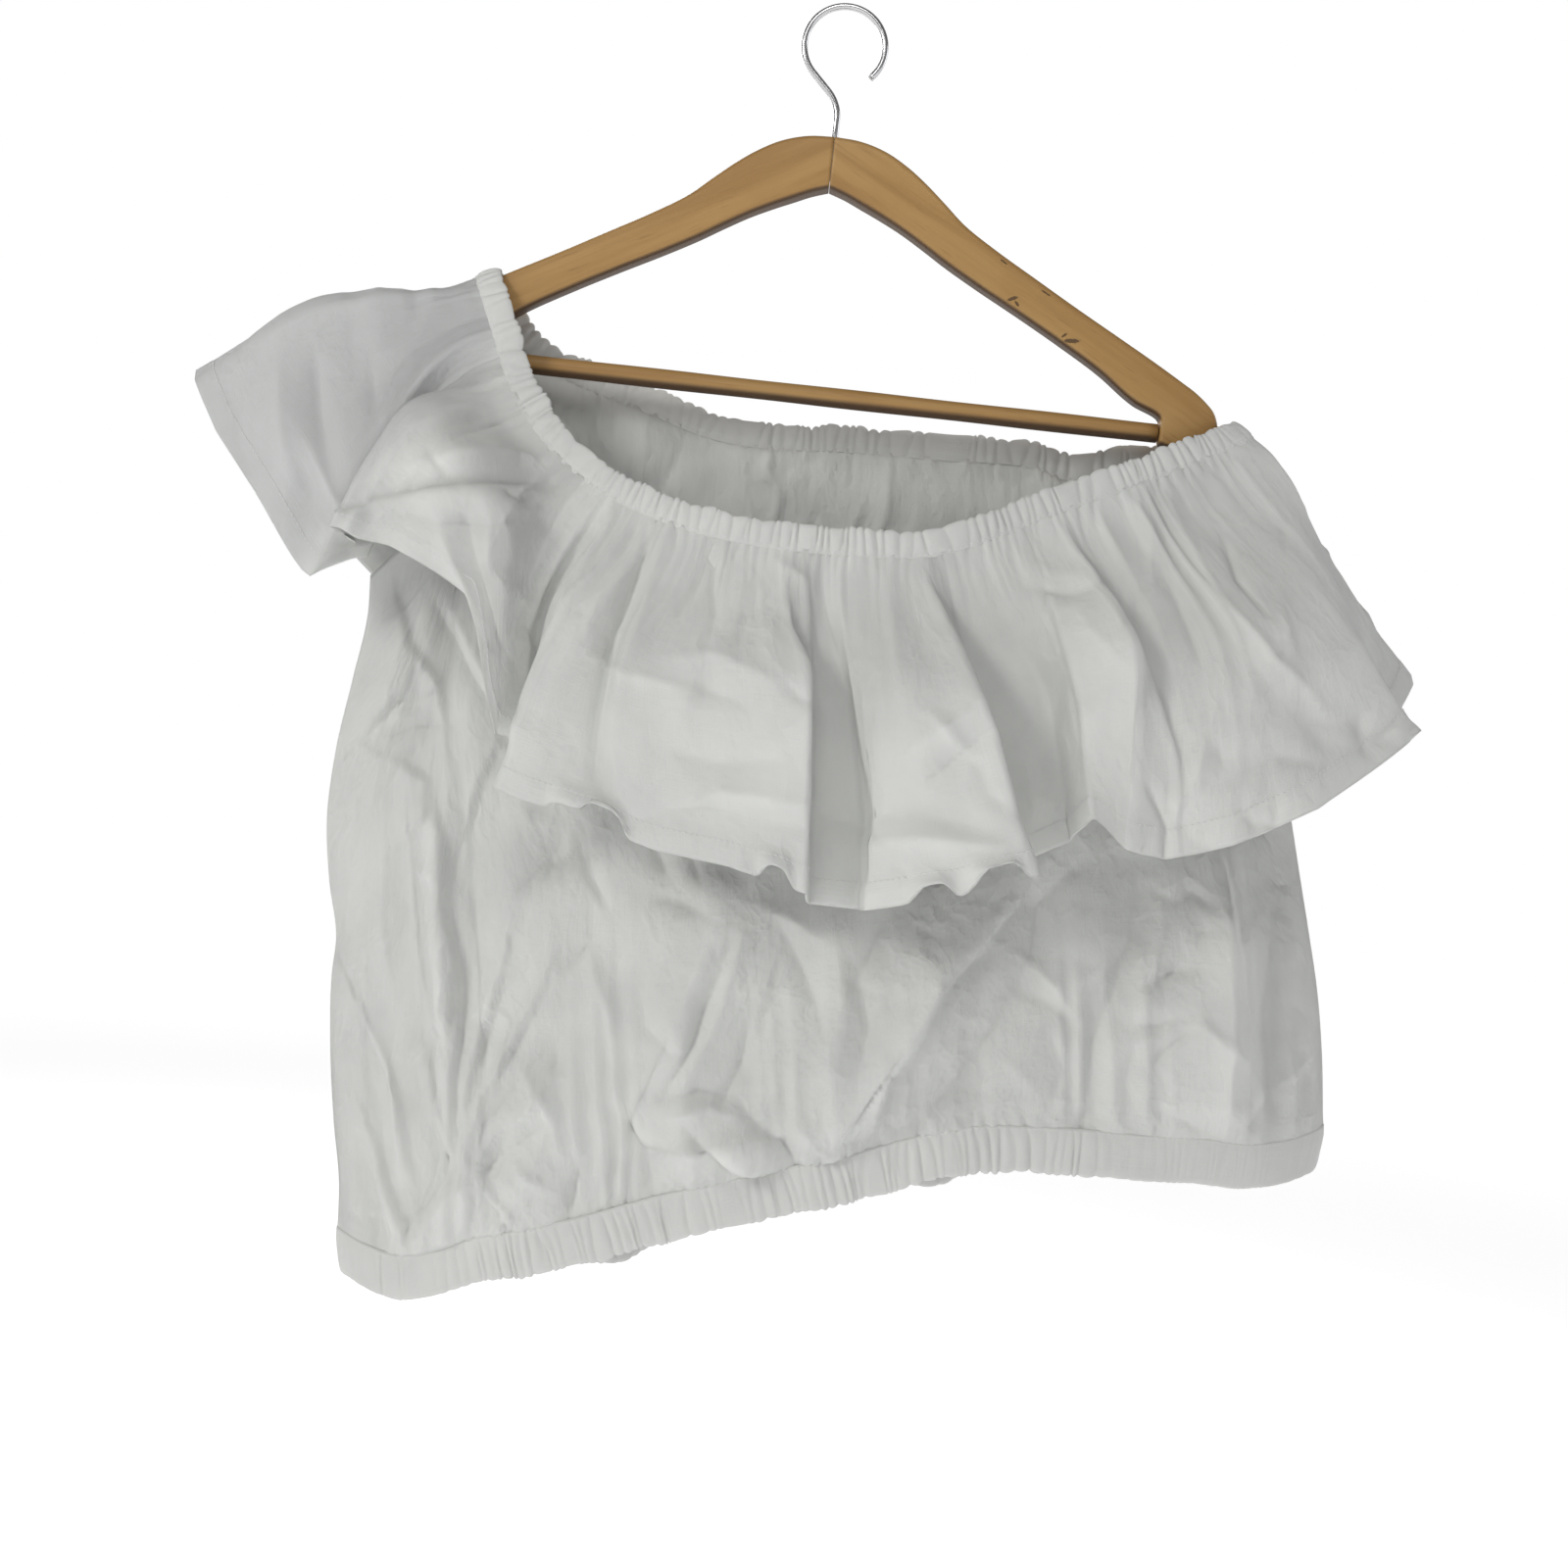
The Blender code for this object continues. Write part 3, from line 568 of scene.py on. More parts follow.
def cotton_paint(name, white, grey, crumpled, shade_line=None):
    """Plain-woven cotton: fine threads, slubs along both of them, and small creases.

    Shade is painted in: the thin cloth is painted greyer where no other layer lies behind it, past
    the line that the last argument gives, as a share of x, a share of z and a distance in
    millimetres.
    That painted shade fades out behind.
    """
    paint = Paint(name, roughness=0.88, sheen_weight=0.18, sheen_roughness=0.5)
    thread = paint.node("Attribute", {"attribute_name": "thread"}, {}, out="Vector")
    weft = paint.axis(thread, "X")
    warp = paint.axis(thread, "Y")
    turn = 2 * math.pi * THREADS_A_MM
    weave = (weft * turn).sine() * (warp * turn).sine()
    scales = COTTON_SCALES
    across = paint.node("VectorMath", {"operation": "MULTIPLY"}, {0: thread, 1: (0.06, 1, 1)})
    down = paint.node("VectorMath", {"operation": "MULTIPLY"}, {0: thread, 1: (1, 0.06, 1)})
    slubs = paint.mottle(across, scales["slubs"], 2.0) + paint.mottle(down, scales["slubs"], 2.0)
    patches = paint.mottle(thread, scales["patches"], 4.0)
    colour = paint.mix(patches.smooth(0.35, 0.75), white, grey)
    if shade_line:
        # Painted shade: past a line on the flounce, the thin cloth is painted greyer where no layer
        # lies behind it, fading out towards the back.
        place = paint.place()
        past = paint.axis(place, "X") * shade_line[0] + paint.axis(place, "Z") * shade_line[1]
        painted_shade = (past * 1000 + shade_line[2]).smooth(*PAINTED_SHADE_FADE)
        behind = (paint.axis(place, "Y") * 1000).smooth(*BEHIND_FADE)
        colour = paint.mix(painted_shade * (1 - behind) * 0.85, colour, PAINTED_SHADE_GREY)
    hanging = paint.node("VectorMath", {"operation": "MULTIPLY"}, {0: thread, 1: HANG_STRETCH})
    drift = paint.node("TexNoise", {}, {"Vector": thread, "Scale": scales["drift"], "Detail": 3.0},
                       out=1)
    drift = paint.node("VectorMath", {"operation": "SCALE"}, {0: drift, "Scale": FACET_DRIFT})
    bent = paint.node("VectorMath", {"operation": "ADD"}, {0: hanging, 1: drift})
    crushed = (paint.mottle(hanging, scales["crushed"], 4.0) - 0.5).maths("ABSOLUTE")
    facets = paint.node("TexVoronoi", {}, {"Vector": bent, "Scale": scales["facets"]})
    small_facets = paint.node("TexVoronoi", {}, {"Vector": bent, "Scale": scales["small facets"]})
    worn = paint.mottle(thread, scales["worn"], 2.0).smooth(0.35, 0.62)
    creases = facets * (0.5 + worn) + small_facets * worn * 0.6 + crushed * 1.2
    height = creases * crumpled + slubs * 0.10 + weave * 0.05
    return paint.finish(
        base_color=colour, roughness=0.82 + 0.12 * patches, normal=paint.bump(height, 1.5))


body_cotton = cotton_paint("body cotton", COTTON_WHITE, COTTON_GREY, 1.9)
flounce_cotton = cotton_paint("flounce cotton", COTTON_WHITE, COTTON_GREY, 1.0, PAINTED_SHADE_LINE)
casing_cotton = cotton_paint("casing cotton", CASING_WHITE, CASING_GREY, 0.5)

thread = Paint("sewing thread", roughness=0.6, sheen_weight=0.2)
twist = thread.mottle(thread.place(), 2500.0, detail=1.0)
thread_paint = thread.finish(
    base_color=thread.mix(twist, THREAD_WHITE, THREAD_GREY), normal=thread.bump(twist, 0.1))


def even_places(curve, first, last, shares):
    """Places on the curve at shares of its length between two rows."""
    fine = np.linspace(first, last, 1200)
    steps = np.linalg.norm(np.diff(curve(fine)[:, :3], axis=0), axis=1)
    length = np.concatenate([[0], np.cumsum(steps)])
    return np.interp(np.asarray(shares, float) * length[-1], length, fine)


class Band:
    """A casing that runs once round the garment, with a front half and a back half."""

    def __init__(self, front, back, width, seam_side):
        self.curve = smooth_through(front + back, closed=True)
        self.count = len(front) + len(back)
        self.halves = {"front": (0, len(front)), "back": (len(front), self.count)}
        self.width = width
        self.seam_side = seam_side

    def frames(self, half, shares):
        """Edge points, the way down and the way out at shares of one half."""
        shares = np.asarray(shares, float)
        places = even_places(self.curve, *self.halves[half], shares)
        rows = self.curve(places)
        points = rows[:, :3].copy()
        along = unit(self.curve((places + 0.05) % self.count)[:, :3]
                     - self.curve((places - 0.05) % self.count)[:, :3])
        ends = (shares <= 0) | (shares >= 1)
        along[ends] = unit(along[ends] * np.array([0, 1, 0]))
        turn = np.radians(rows[:, 3])
        down = np.stack([np.sin(turn), np.zeros(len(turn)), -np.cos(turn)], axis=1)
        return points, down, unit(np.cross(down, along))

    def seam(self, half, shares, outward):
        """Points on the seam line, moved out by a distance, with the directions there."""
        points, down, out = self.frames(half, shares)
        reach = self.seam_side * (self.width + SEAM_GAP)
        return points + down * reach + out * outward, down, out


def side_rest(shares, width):
    """1 over the panel, falling to 0 at its two side edges."""
    rest = np.clip(np.minimum(shares, 1 - shares) / width, 0, 1)
    return rest * rest * (3 - 2 * rest)


class Gathers:
    """Uneven gathers along a band: tight groups of them, with smoother stretches between."""

    GROUPS = (0.37, 0.83)
    WIDTH_SPREAD = 0.32
    HEIGHTS = (0.5, 1.4)
    LONGEST_LEAN = 14.0
    LEAN = 0.035
    SHARPNESS = 0.65

    def __init__(self, count, height, reach, seed, smooth=((0, 1), (1, 1))):
        luck = np.random.default_rng(seed)
        self.ticks = np.arange(count + 1)
        slow = 0.5 + 0.5 * np.sin(self.ticks * self.GROUPS[0] + luck.uniform(0, 6, 1))
        slow *= 0.5 + 0.5 * np.sin(self.ticks * self.GROUPS[1] + luck.uniform(0, 6, 1))
        widths = np.exp(luck.normal(0, self.WIDTH_SPREAD, count)) * (0.8 + 1.1 * slow[1:] ** 2)
        self.valleys = np.concatenate([[0], np.cumsum(widths)]) / widths.sum()
        self.heights = height * luck.uniform(*self.HEIGHTS, count + 1) * (1.1 - 0.4 * slow)
        self.heights = self.heights * np.interp(self.valleys, *zip(*smooth))
        self.reaches = reach * (0.18 + luck.uniform(0.2, 1.0, count + 1) ** 2)
        self.turns = luck.uniform(0, 2 * math.pi, 3)
        self.leans = luck.normal(0, self.LEAN, count + 1)

    def lift(self, shares, away=0.0):
        """Height of the gathers at shares of the band and distances from it."""
        phase = np.interp(shares, self.valleys, self.ticks)
        leaning = np.clip(away, -self.LONGEST_LEAN, self.LONGEST_LEAN)
        phase = phase + np.interp(phase, self.ticks, self.leans) * leaning
        height = np.interp(phase, self.ticks, self.heights)
        reach = np.interp(phase, self.ticks, self.reaches)
        pleat = np.abs(np.sin(np.pi * phase)) ** self.SHARPNESS - 0.6
        return 1.7 * height * pleat * np.exp(-np.maximum(away, 0) / reach)

    def ruffle(self, shares):
        """Slow, uneven waves of the band's free edge."""
        phase = np.interp(shares, self.valleys, self.ticks)
        waves = np.sin(phase * 0.83 + self.turns[0]) + 0.8 * np.sin(phase * 1.71 + self.turns[1])
        return RUFFLE * waves * np.interp(phase, self.ticks, self.heights) * side_rest(shares, 0.04)

    def merge(self, shares, away, height, reach):
        """Wider folds into which the gathers run together further from the band."""
        phase = np.interp(shares, self.valleys, self.ticks)
        wide = 1 - 2 * np.abs(np.sin(np.pi * phase / 3 + 1.3 * np.sin(phase * 0.4 + self.turns[1])))
        strong = 0.55 + 0.45 * np.sin(phase * 0.29 + self.turns[2])
        return height * wide * strong * (away / reach) * np.exp(1 - away / reach)


def normals_of(grid, tube=False):
    """Unit normals of a grid of points whose rows go down and columns along, pointing out."""
    if tube:
        falls = np.roll(grid, -1, axis=0) - np.roll(grid, 1, axis=0)
    else:
        falls = np.gradient(grid, axis=0)
    return unit(np.cross(falls, np.gradient(grid, axis=1)))


def cloth_shell(name, grid, material, thick=CLOTH, tube=False):
    """A thin shell of cloth on a grid of middle points; a tube's rows close on themselves."""
    rows, columns = grid.shape[:2]
    out = normals_of(grid, tube)
    half = np.broadcast_to(np.asarray(thick, float), (rows, columns))[..., None] / 2
    points = np.concatenate([(grid + out * half).reshape(-1, 3), (grid - out * half).reshape(-1, 3)])
    index = np.arange(rows * columns).reshape(rows, columns)
    if tube:
        index = np.vstack([index, index[:1]])
    under = index + rows * columns
    one, two = index[:-1, :-1], index[1:, :-1]
    three, four = index[1:, 1:], index[:-1, 1:]
    faces = [np.stack([one, two, three, four], axis=-1).reshape(-1, 4)]
    faces.append(faces[0][:, ::-1] + rows * columns)
    faces.append(np.stack([index[1:, 0], index[:-1, 0], under[:-1, 0], under[1:, 0]], axis=-1))
    faces.append(np.stack([index[:-1, -1], index[1:, -1], under[1:, -1], under[:-1, -1]], axis=-1))
    if not tube:
        faces.append(np.stack([index[0, :-1], index[0, 1:], under[0, 1:], under[0, :-1]], axis=-1))
        faces.append(np.stack([index[-1, 1:], index[-1, :-1], under[-1, :-1], under[-1, 1:]],
                              axis=-1))
    piece = add_piece(name, points, np.concatenate(faces).tolist(), material)
    weft_steps = np.linalg.norm(np.diff(grid, axis=1), axis=-1).mean(axis=0)
    warp_steps = np.linalg.norm(np.diff(grid, axis=0), axis=-1).mean(axis=1)
    thread = np.zeros((rows, columns, 3))
    thread[:, 1:, 0] = np.cumsum(weft_steps)[None, :]
    thread[1:, :, 1] = np.cumsum(warp_steps)[:, None]
    store = piece.data.attributes.new("thread", "FLOAT_VECTOR", "POINT")
    store.data.foreach_set("vector", np.concatenate([thread, thread]).astype(np.float32).ravel())
    return piece


def stitch_line(name, points, out):
    """One row of machine stitches along points, lying on the side that out points to."""
    steps = np.linalg.norm(np.diff(points, axis=0), axis=1)
    length = np.concatenate([[0], np.cumsum(steps)])
    firsts = np.arange(2.0, length[-1] - STITCH - 2.0, STITCH + STITCH_GAP)
    turns = np.linspace(0, 2 * math.pi, STITCH_SIDES, endpoint=False)
    stations = ((0.0, 0.4, -0.6), (0.25, 1.0, 0.4), (0.75, 1.0, 0.4), (1.0, 0.4, -0.6))
    made, faces = [], []
    for first in firsts:
        base = STITCH_SIDES * len(made)
        for share, girth, rise in stations:
            here = first + share * STITCH
            spot = np.array([np.interp(here, length, points[:, k]) for k in range(3)])
            facing = unit([np.interp(here, length, out[:, k]) for k in range(3)])
            ahead = unit([np.interp(here + 0.5, length, points[:, k]) for k in range(3)] - spot)
            beside = np.cross(ahead, facing)
            ring = np.cos(turns)[:, None] * beside + np.sin(turns)[:, None] * facing
            made.append(spot + (ring * girth + facing * rise) * STITCH_THREAD)
        for row in range(len(stations) - 1):
            ring_start = base + STITCH_SIDES * row
            for k in range(STITCH_SIDES):
                one = ring_start + k
                two = ring_start + (k + 1) % STITCH_SIDES
                faces.append((one, two, two + STITCH_SIDES, one + STITCH_SIDES))
        last = base + STITCH_SIDES * (len(stations) - 1)
        faces.append(tuple(range(base + STITCH_SIDES - 1, base - 1, -1)))
        faces.append(tuple(range(last, last + STITCH_SIDES)))
    return add_piece(name, np.concatenate(made), faces, thread_paint)


def make_casing(name, band, half, gathers, thick, material, groove):
    """A flat tube of thin cloth, pleated by its elastic and pinched along its stitching."""
    around = np.linspace(0, 2 * math.pi, TUBE_SIDES, endpoint=False)
    columns = (len(gathers.ticks) - 1) * COLUMNS_A_GATHER + 1
    shares = np.linspace(0, 1, columns)
    points, down, out = band.frames(half, shares)
    across = (1 - np.sign(np.cos(around)) * np.abs(np.cos(around)) ** TUBE_SQUARE[0]) / 2
    pleat = gathers.lift(shares[None, :], (across[:, None] - 1) * band.width * 0.999)
    depth = np.sign(np.sin(around)) * np.abs(np.sin(around)) ** TUBE_SQUARE[1]
    pinch = 1 - PINCH[0] * np.exp(-((across - groove) / PINCH[1]) ** 2)
    ruffle = EDGE_RUFFLE * pleat + gathers.ruffle(shares)[None, :]
    free_edge = (1 - across)[:, None] ** 2 * ruffle
    reach = band.seam_side * band.width
    grid = points[None] + (across[:, None] * reach)[..., None] * down[None]
    body = depth * thick / 2 * pinch
    lifted = body[:, None] + depth[:, None] * (0.35 + 0.65 * np.sin(np.pi * across))[:, None] * pleat
    grid = grid + lifted[..., None] * out[None]
    grid = grid - band.seam_side * free_edge[..., None] * down[None]
    stitched = np.argmin(np.abs(across - groove) + 9 * (depth < 0))
    stitches = stitch_line(name + "_stitches", grid[stitched] + out * CLOTH / 2, out)
    if band.seam_side < 0:
        grid = grid[::-1]
    return cloth_shell(name, grid, material, tube=True), stitches


neck = Band(NECK_FRONT, NECK_BACK, NECK_WIDTH, 1)
neck_gathers = {
    "front": Gathers(NECK_PLEATS["front"], 0.9, 40.0, seed=4),
    "back": Gathers(NECK_PLEATS["back"], 1.0, 34.0, seed=9),
}
for half in ("front", "back"):
    casing, stitches = make_casing("neck_band_" + half, neck, half, neck_gathers[half],
                                   NECK_THICK, casing_cotton, NECK_STITCHED)
    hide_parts("neck_casing_" + half)


# Flounce. A long strip of cotton gathered into the neck seam, one half in front and one behind.
# It falls in deep, flattened folds, its hem is turned up and stitched, and it is creased from
# lying folded. Each rib below is one fold, with a point at half its depth and one on the hem.

FLOUNCE_ROWS = 84
FLOUNCE_COLUMNS_A_GATHER = {"front": 7, "back": 9}
LEAVE_STRAIGHT = 9.0
FRONT_RIBS = {
    # gather on the neck seam, knee x, y and z, hem x, y and z
    "shoulder fold": (0, -263, 0, -186, -327, 0, -231),
    "fold turn": (1, -263, -9, -188, -324, -10, -238),
    "shoulder front": (2, -251, -21, -208, -306, -23, -265),
    "side": (4, -232, -34, -239, -277, -40, -298),
    "corner": (5, -217, -42, -259, -242, -48, -340),
    "turned in": (7, -200, -30, -256, -219, -24, -322),
    "flap edge": (8, -199, -54, -242, -231, -64, -317),
    "flap mid": (11, -176, -66, -276, -201, -62, -319),
    "flap right": (14, -143, -64, -300, -160, -58, -338),
    "pleat tip": (16, -134, -52, -342, -138, -50, -408),
    "valley": (18, -121, -37, -335, -119, -36, -411),
    "main left": (20, -109, -58, -350, -134, -66, -435),
    "crease": (22, -84, -55, -367, -86, -64, -447),
    "curl": (24, -66, -66, -376, -50, -76, -457),
    "main mid": (26, -24, -74, -371, -11, -82, -461),
    "main ridge": (29, 18, -82, -367, 27, -90, -470),
    "recess left": (30, 20, -60, -376, 31, -62, -476),
    "recess right": (31, 40, -60, -373, 56, -64, -476),
    "panel left": (33, 45, -74, -374, 58, -84, -475),
    "panel mid": (35, 69, -86, -371, 101, -96, -463),
    "panel ridge": (37, 103, -86, -365, 140, -98, -448),
    "second recess": (38, 106, -56, -366, 138, -50, -443),
    "recess lobe": (40, 140, -54, -360, 161, -56, -429),
    "narrow left": (42, 146, -73, -350, 168, -80, -417),
    "narrow ridge": (45, 172, -82, -326, 183, -88, -431),
    "lobe valley": (47, 188, -72, -334, 204, -84, -433),
    "lobe mid": (50, 214, -72, -325, 235, -86, -423),
    "lobe right": (53, 248, -66, -311, 277, -80, -400),
    "lobe corner": (56, 277, -44, -291, 335, -46, -353),
    "side valley": (58, 284, -24, -276, 330, -20, -344),
    "side turn": (59, 285, -9, -265, 338, -9, -328),
    "side fold": (60, 283, 0, -262, 339, 0, -322),
}
BACK_RIBS = {
    "side fold": (0, 283, 0, -262, 339, 0, -322),
    "side turn": (1, 292, 9, -262, 340, 10, -332),
    "side lobe": (2, 296, 20, -270, 336, 24, -342),
    "side valley": (4, 262, 34, -296, 284, 32, -384),
    "wave 1": (5, 240, 56, -310, 256, 64, -398),
    "valley 1": (7, 213, 42, -318, 219, 40, -408),
    "wave 2": (10, 188, 62, -322, 194, 74, -416),
    "valley 2": (12, 156, 42, -324, 155, 40, -421),
    "wave 3": (14, 128, 60, -326, 128, 70, -426),
    "valley 3": (16, 94, 43, -327, 90, 41, -428),
    "wave 4": (19, 62, 63, -327, 58, 76, -430),
    "valley 4": (21, 28, 44, -327, 24, 42, -429),
    "wave 5": (24, -6, 60, -326, -12, 71, -427),
    "valley 5": (26, -42, 43, -321, -50, 40, -421),
    "wave 6": (28, -74, 60, -313, -88, 68, -412),
    "valley 6": (31, -108, 40, -300, -128, 37, -399),
    "wave 7": (33, -142, 50, -280, -168, 52, -382),
    "valley 7": (35, -170, 34, -262, -201, 32, -350),
    "shoulder wave": (37, -208, 32, -232, -254, 34, -305),
    "shoulder back": (38, -246, 20, -204, -300, 22, -262),
    "fold turn": (39, -262, 9, -188, -322, 10, -240),
    "shoulder fold": (40, -263, 0, -186, -327, 0, -231),
}
FLOUNCE_CREASES = {
    # half width, lift (minus is a trough), then x and z along the crease
    "shoulder pouch top": (4, -3.2, (-203, -297), (-186, -290), (-153, -282), (-121, -276)),
    "shoulder pouch": (13, 5.0, (-196, -280), (-160, -268), (-130, -262)),
    "shoulder pouch low": (6, -3.0, (-200, -302), (-176, -306), (-150, -304), (-132, -296)),
    "shoulder line": (6, 1.6, (-203, -277), (-195, -261), (-179, -245), (-168, -236)),
    "shoulder hollow": (6, -1.2, (-185, -263), (-171, -251), (-162, -243)),
    "sleeve line": (4, -2.2, (-259, -219), (-253, -248), (-244, -274)),
    "sleeve ridge": (9, 2.6, (-275, -230), (-268, -262), (-258, -290)),
    "sleeve curl": (5, -2.6, (-254, -283), (-249, -292), (-254, -307)),
    "sleeve top": (5, 2.0, (-300, -222), (-262, -196), (-225, -184), (-196, -178)),
    "sleeve hollow": (10, -2.4, (-232, -214), (-226, -232), (-222, -250)),
    "sleeve edge": (4, 2.8, (-195, -256), (-205, -277), (-219, -309), (-225, -324)),
    "flap line": (4, -2.6, (-165, -300), (-158, -320), (-150, -340), (-139, -364)),
    "flap ridge": (5, 3.0, (-176, -306), (-166, -326), (-152, -350)),
    "long left": (4, -4.0, (-73, -290), (-74, -307), (-78, -333), (-83, -353), (-86, -388),
                  (-85, -417), (-78, -442)),
    "long left ridge": (8, 3.0, (-66, -300), (-70, -340), (-76, -390), (-72, -430)),
    "seam fork": (3, -2.2, (-38, -292), (-37, -318), (-33, -342)),
    "seam fork left": (3, -1.8, (-40, -306), (-46, -322), (-53, -338)),
    "panel cross": (5, -1.8, (-45, -407), (-24, -411), (5, -406)),
    "panel upper": (7, 1.8, (-60, -362), (-30, -356), (4, -368)),
    "panel low": (6, -3.0, (-66, -449), (-45, -436), (-20, -433), (21, -438)),
    "panel low ridge": (7, 3.0, (-56, -441), (-20, -424), (19, -426)),
    "middle dent": (6, -1.8, (-45, -371), (-13, -379)),
    "second diagonal": (5, -2.6, (78, -410), (95, -393), (108, -377)),
    "second diagonal top": (6, 2.2, (70, -395), (90, -378), (104, -362)),
    "second low": (6, -3.4, (57, -428), (81, -425), (113, -430)),
    "second low ridge": (6, 3.4, (56, -442), (82, -435), (124, -436)),
    "second left": (3, -2.4, (48, -380), (50, -420), (55, -460)),
    "narrow cross": (4, -1.6, (120, -302), (142, -304), (162, -298)),
    "narrow cross top": (8, 1.2, (120, -294), (142, -295), (160, -290)),
    "narrow bright": (7, 1.4, (145, -306), (154, -322), (171, -340)),
    "lobe diagonal": (3, 1.6, (196, -250), (222, -298), (249, -328), (290, -356)),
    "lobe trough": (13, -1.6, (206, -284), (228, -320), (256, -350), (290, -369)),
    "lobe dark": (10, -2.2, (268, -357), (300, -353), (318, -361)),
    "lobe low": (5, -2.4, (231, -393), (254, -376), (279, -377)),
    "lobe low ridge": (6, 2.4, (217, -374), (214, -395), (203, -411)),
    "lobe top": (5, 2.2, (178, -232), (186, -262), (188, -300)),
}
BACK_FLOUNCE_CREASES = {
    "right cross": (5, -2.6, (270, -290), (236, -300), (206, -296)),
    "right fall": (6, 2.8, (226, -262), (236, -310), (240, -370)),
    "right low": (6, -2.8, (200, -380), (178, -372), (150, -384)),
    "middle cross": (5, -2.4, (120, -330), (84, -338), (60, -328)),
    "middle fall": (4, -3.0, (44, -268), (40, -310), (32, -366), (34, -410)),
    "middle ridge": (7, 2.6, (10, -290), (0, -340), (-4, -392)),
    "middle low": (5, -2.8, (20, -396), (-12, -388), (-52, -398)),
    "left fall": (4, -2.8, (-72, -262), (-84, -300), (-88, -352)),
    "left cross": (5, -2.4, (-100, -316), (-132, -306), (-160, -314)),
    "left ridge": (6, 2.8, (-128, -254), (-150, -290), (-160, -340)),
    "shoulder cross": (6, 2.6, (-196, -246), (-226, -232), (-258, -236)),
    "shoulder trough": (5, -2.6, (-188, -220), (-220, -214), (-250, -222)),
}
FLOUNCE_EDGES = {
    # lift, how far it runs back, overhang, then x and z along the edge, which is proud on its
    # right when it is walked from first to last
    "main edge": (7.0, 26.0, 4.0, (8, -300), (12, -330), (16, -366), (20, -410), (26, -470)),
    "panel edge": (8.0, 26.0, 4.0, (70, -302), (82, -324), (95, -350), (110, -382), (124, -420),
                   (139, -448)),
    "lobe fold": (4.0, 22.0, 1.5, (143, -272), (162, -299), (177, -328), (192, -358), (203, -384),
                  (206, -404)),
    "lobe edge": (6.0, 30.0, 4.0, (166, -416), (162, -396), (155, -360), (146, -334), (136, -306)),
    "pouch edge": (6.0, 26.0, 2.0, (-212, -300), (-184, -291), (-152, -284), (-122, -276)),
    "main left edge": (6.0, 30.0, 3.0, (-136, -432), (-126, -396), (-114, -350), (-104, -312)),
}
BACK_FLOUNCE_EDGES = {
    "back edge 1": (6.0, 24.0, 3.0, (-40, -420), (-34, -380), (-22, -330), (-14, -290)),
    "back edge 2": (6.0, 24.0, 3.0, (90, -290), (98, -330), (104, -380), (106, -424)),
    "back edge 3": (5.0, 22.0, 3.0, (196, -270), (206, -320), (212, -370), (214, -404)),
}
HEM_CURLS = {
    # x and half width along the hem, forward and up in millimetres
    "left curl": (-78, 11, 7, 13),
    "left curl end": (-98, 8, 5, 5),
    "fold foot": (12, 7, 5, 9),
    "panel foot": (90, 9, 5, 9),
    "panel corner": (121, 11, 7, 13),
    "sleeve foot": (-232, 12, 4, 4),
}
CURL_HEIGHT = 17.0
CURL_TURN = 2.4
CRISP = 0.7
SEAM_TUCK = 2.5
SEAM_LIFT = 0.6
HEM_TURN = 11.0
HEM_THICK = 1.0
HEM_STITCH_UP = 0.92
TURNED_OVER = 0.35
FLOUNCE_GATHER = 1.1
FLOUNCE_MERGE = (2.0, 34.0)
FLOUNCE_EASE = (12.0, 0.1)
FLOUNCE_ENDS = 0.02
FLOUNCE_FREE = 26.0
FLOUNCE_FACETS = ((1.5, 26.0), (0.45, 10.0))
FLOUNCE_SMALL = {"front": (90, -70), "back": (90, -110)}
CREASE_STRENGTH = 2.1
CREASE_BREADTH = 1.2
CREASE_TIP = 0.05
CREASE_ENDS = 0.12
EDGE_ENDS = 0.08
EDGE_FADE = 0.7
EDGE_SHIFT = 1.5
EDGE_STEP = 1.6
DIP_DEPTH = 0.45
DIP_RUN = 9.0
PUSH_RUN = 8.0
SMALL_TURN = 38.0
SMALL_BEND = 28.0
SMALL_LONG = (6, 26)
SMALL_WIDE = (1.8, 5.0)
SMALL_LIFT = (0.7, 2.0)
FACET_SQUASH = 0.55
FACET_BEND = (0.45, 0.7)
FACET_SEEDS = 10
PEAK_SHIFT = 0.36
PATCH_SIZE = 0.35
PATCH_MEAN = 0.62
PATCH_SWING = 1.5
PATCH_LEAST = 0.12
SEED_STEPS = (7.3, 3.1, 1.7)


def walk_beside(route, flat):
    """How points in x and z lie beside a route: their distance, the same as plus on its right and
    minus on its left, the share of the route walked by then, and the unit way to its left."""
    route = np.array(route, float)
    steps = np.diff(route, axis=0)
    lengths = np.linalg.norm(steps, axis=1)
    starts = np.concatenate([[0], np.cumsum(lengths)])
    near = np.full(flat.shape[:-1], np.inf)
    signed = np.zeros(near.shape)
    walked = np.zeros(near.shape)
    left = np.zeros(flat.shape)
    for start, step, length, before in zip(route[:-1], steps, lengths, starts):
        part = np.clip((flat - start) @ step / length ** 2, 0, 1)
        gap = flat - start - part[..., None] * step
        far = np.linalg.norm(gap, axis=-1)
        nearer = far < near
        right_of = gap[..., 0] * step[1] - gap[..., 1] * step[0]
        near = np.where(nearer, far, near)
        signed = np.where(nearer, np.sign(right_of) * far, signed)
        walked = np.where(nearer, before + part * length, walked)
        left = np.where(nearer[..., None], np.array([-step[1], step[0]]) / length, left)
    return near, signed, walked / starts[-1], left


def crease_lift(creases, points):
    """How far creases lift the cloth at points, by their distance in x and z."""
    lift = np.zeros(points.shape[:-1])
    for half_width, height, *route in creases.values():
        near, _, walked, _ = walk_beside(route, points[..., (0, 2)])
        fade = np.sin(np.pi * (CREASE_ENDS + (1 - 2 * CREASE_ENDS) * walked)) * CREASE_STRENGTH
        soft = CREASE_TIP * half_width
        reach = half_width * CREASE_BREADTH
        lift += height * fade * np.exp(-(np.sqrt(near ** 2 + soft ** 2) - soft) / reach)
    return lift


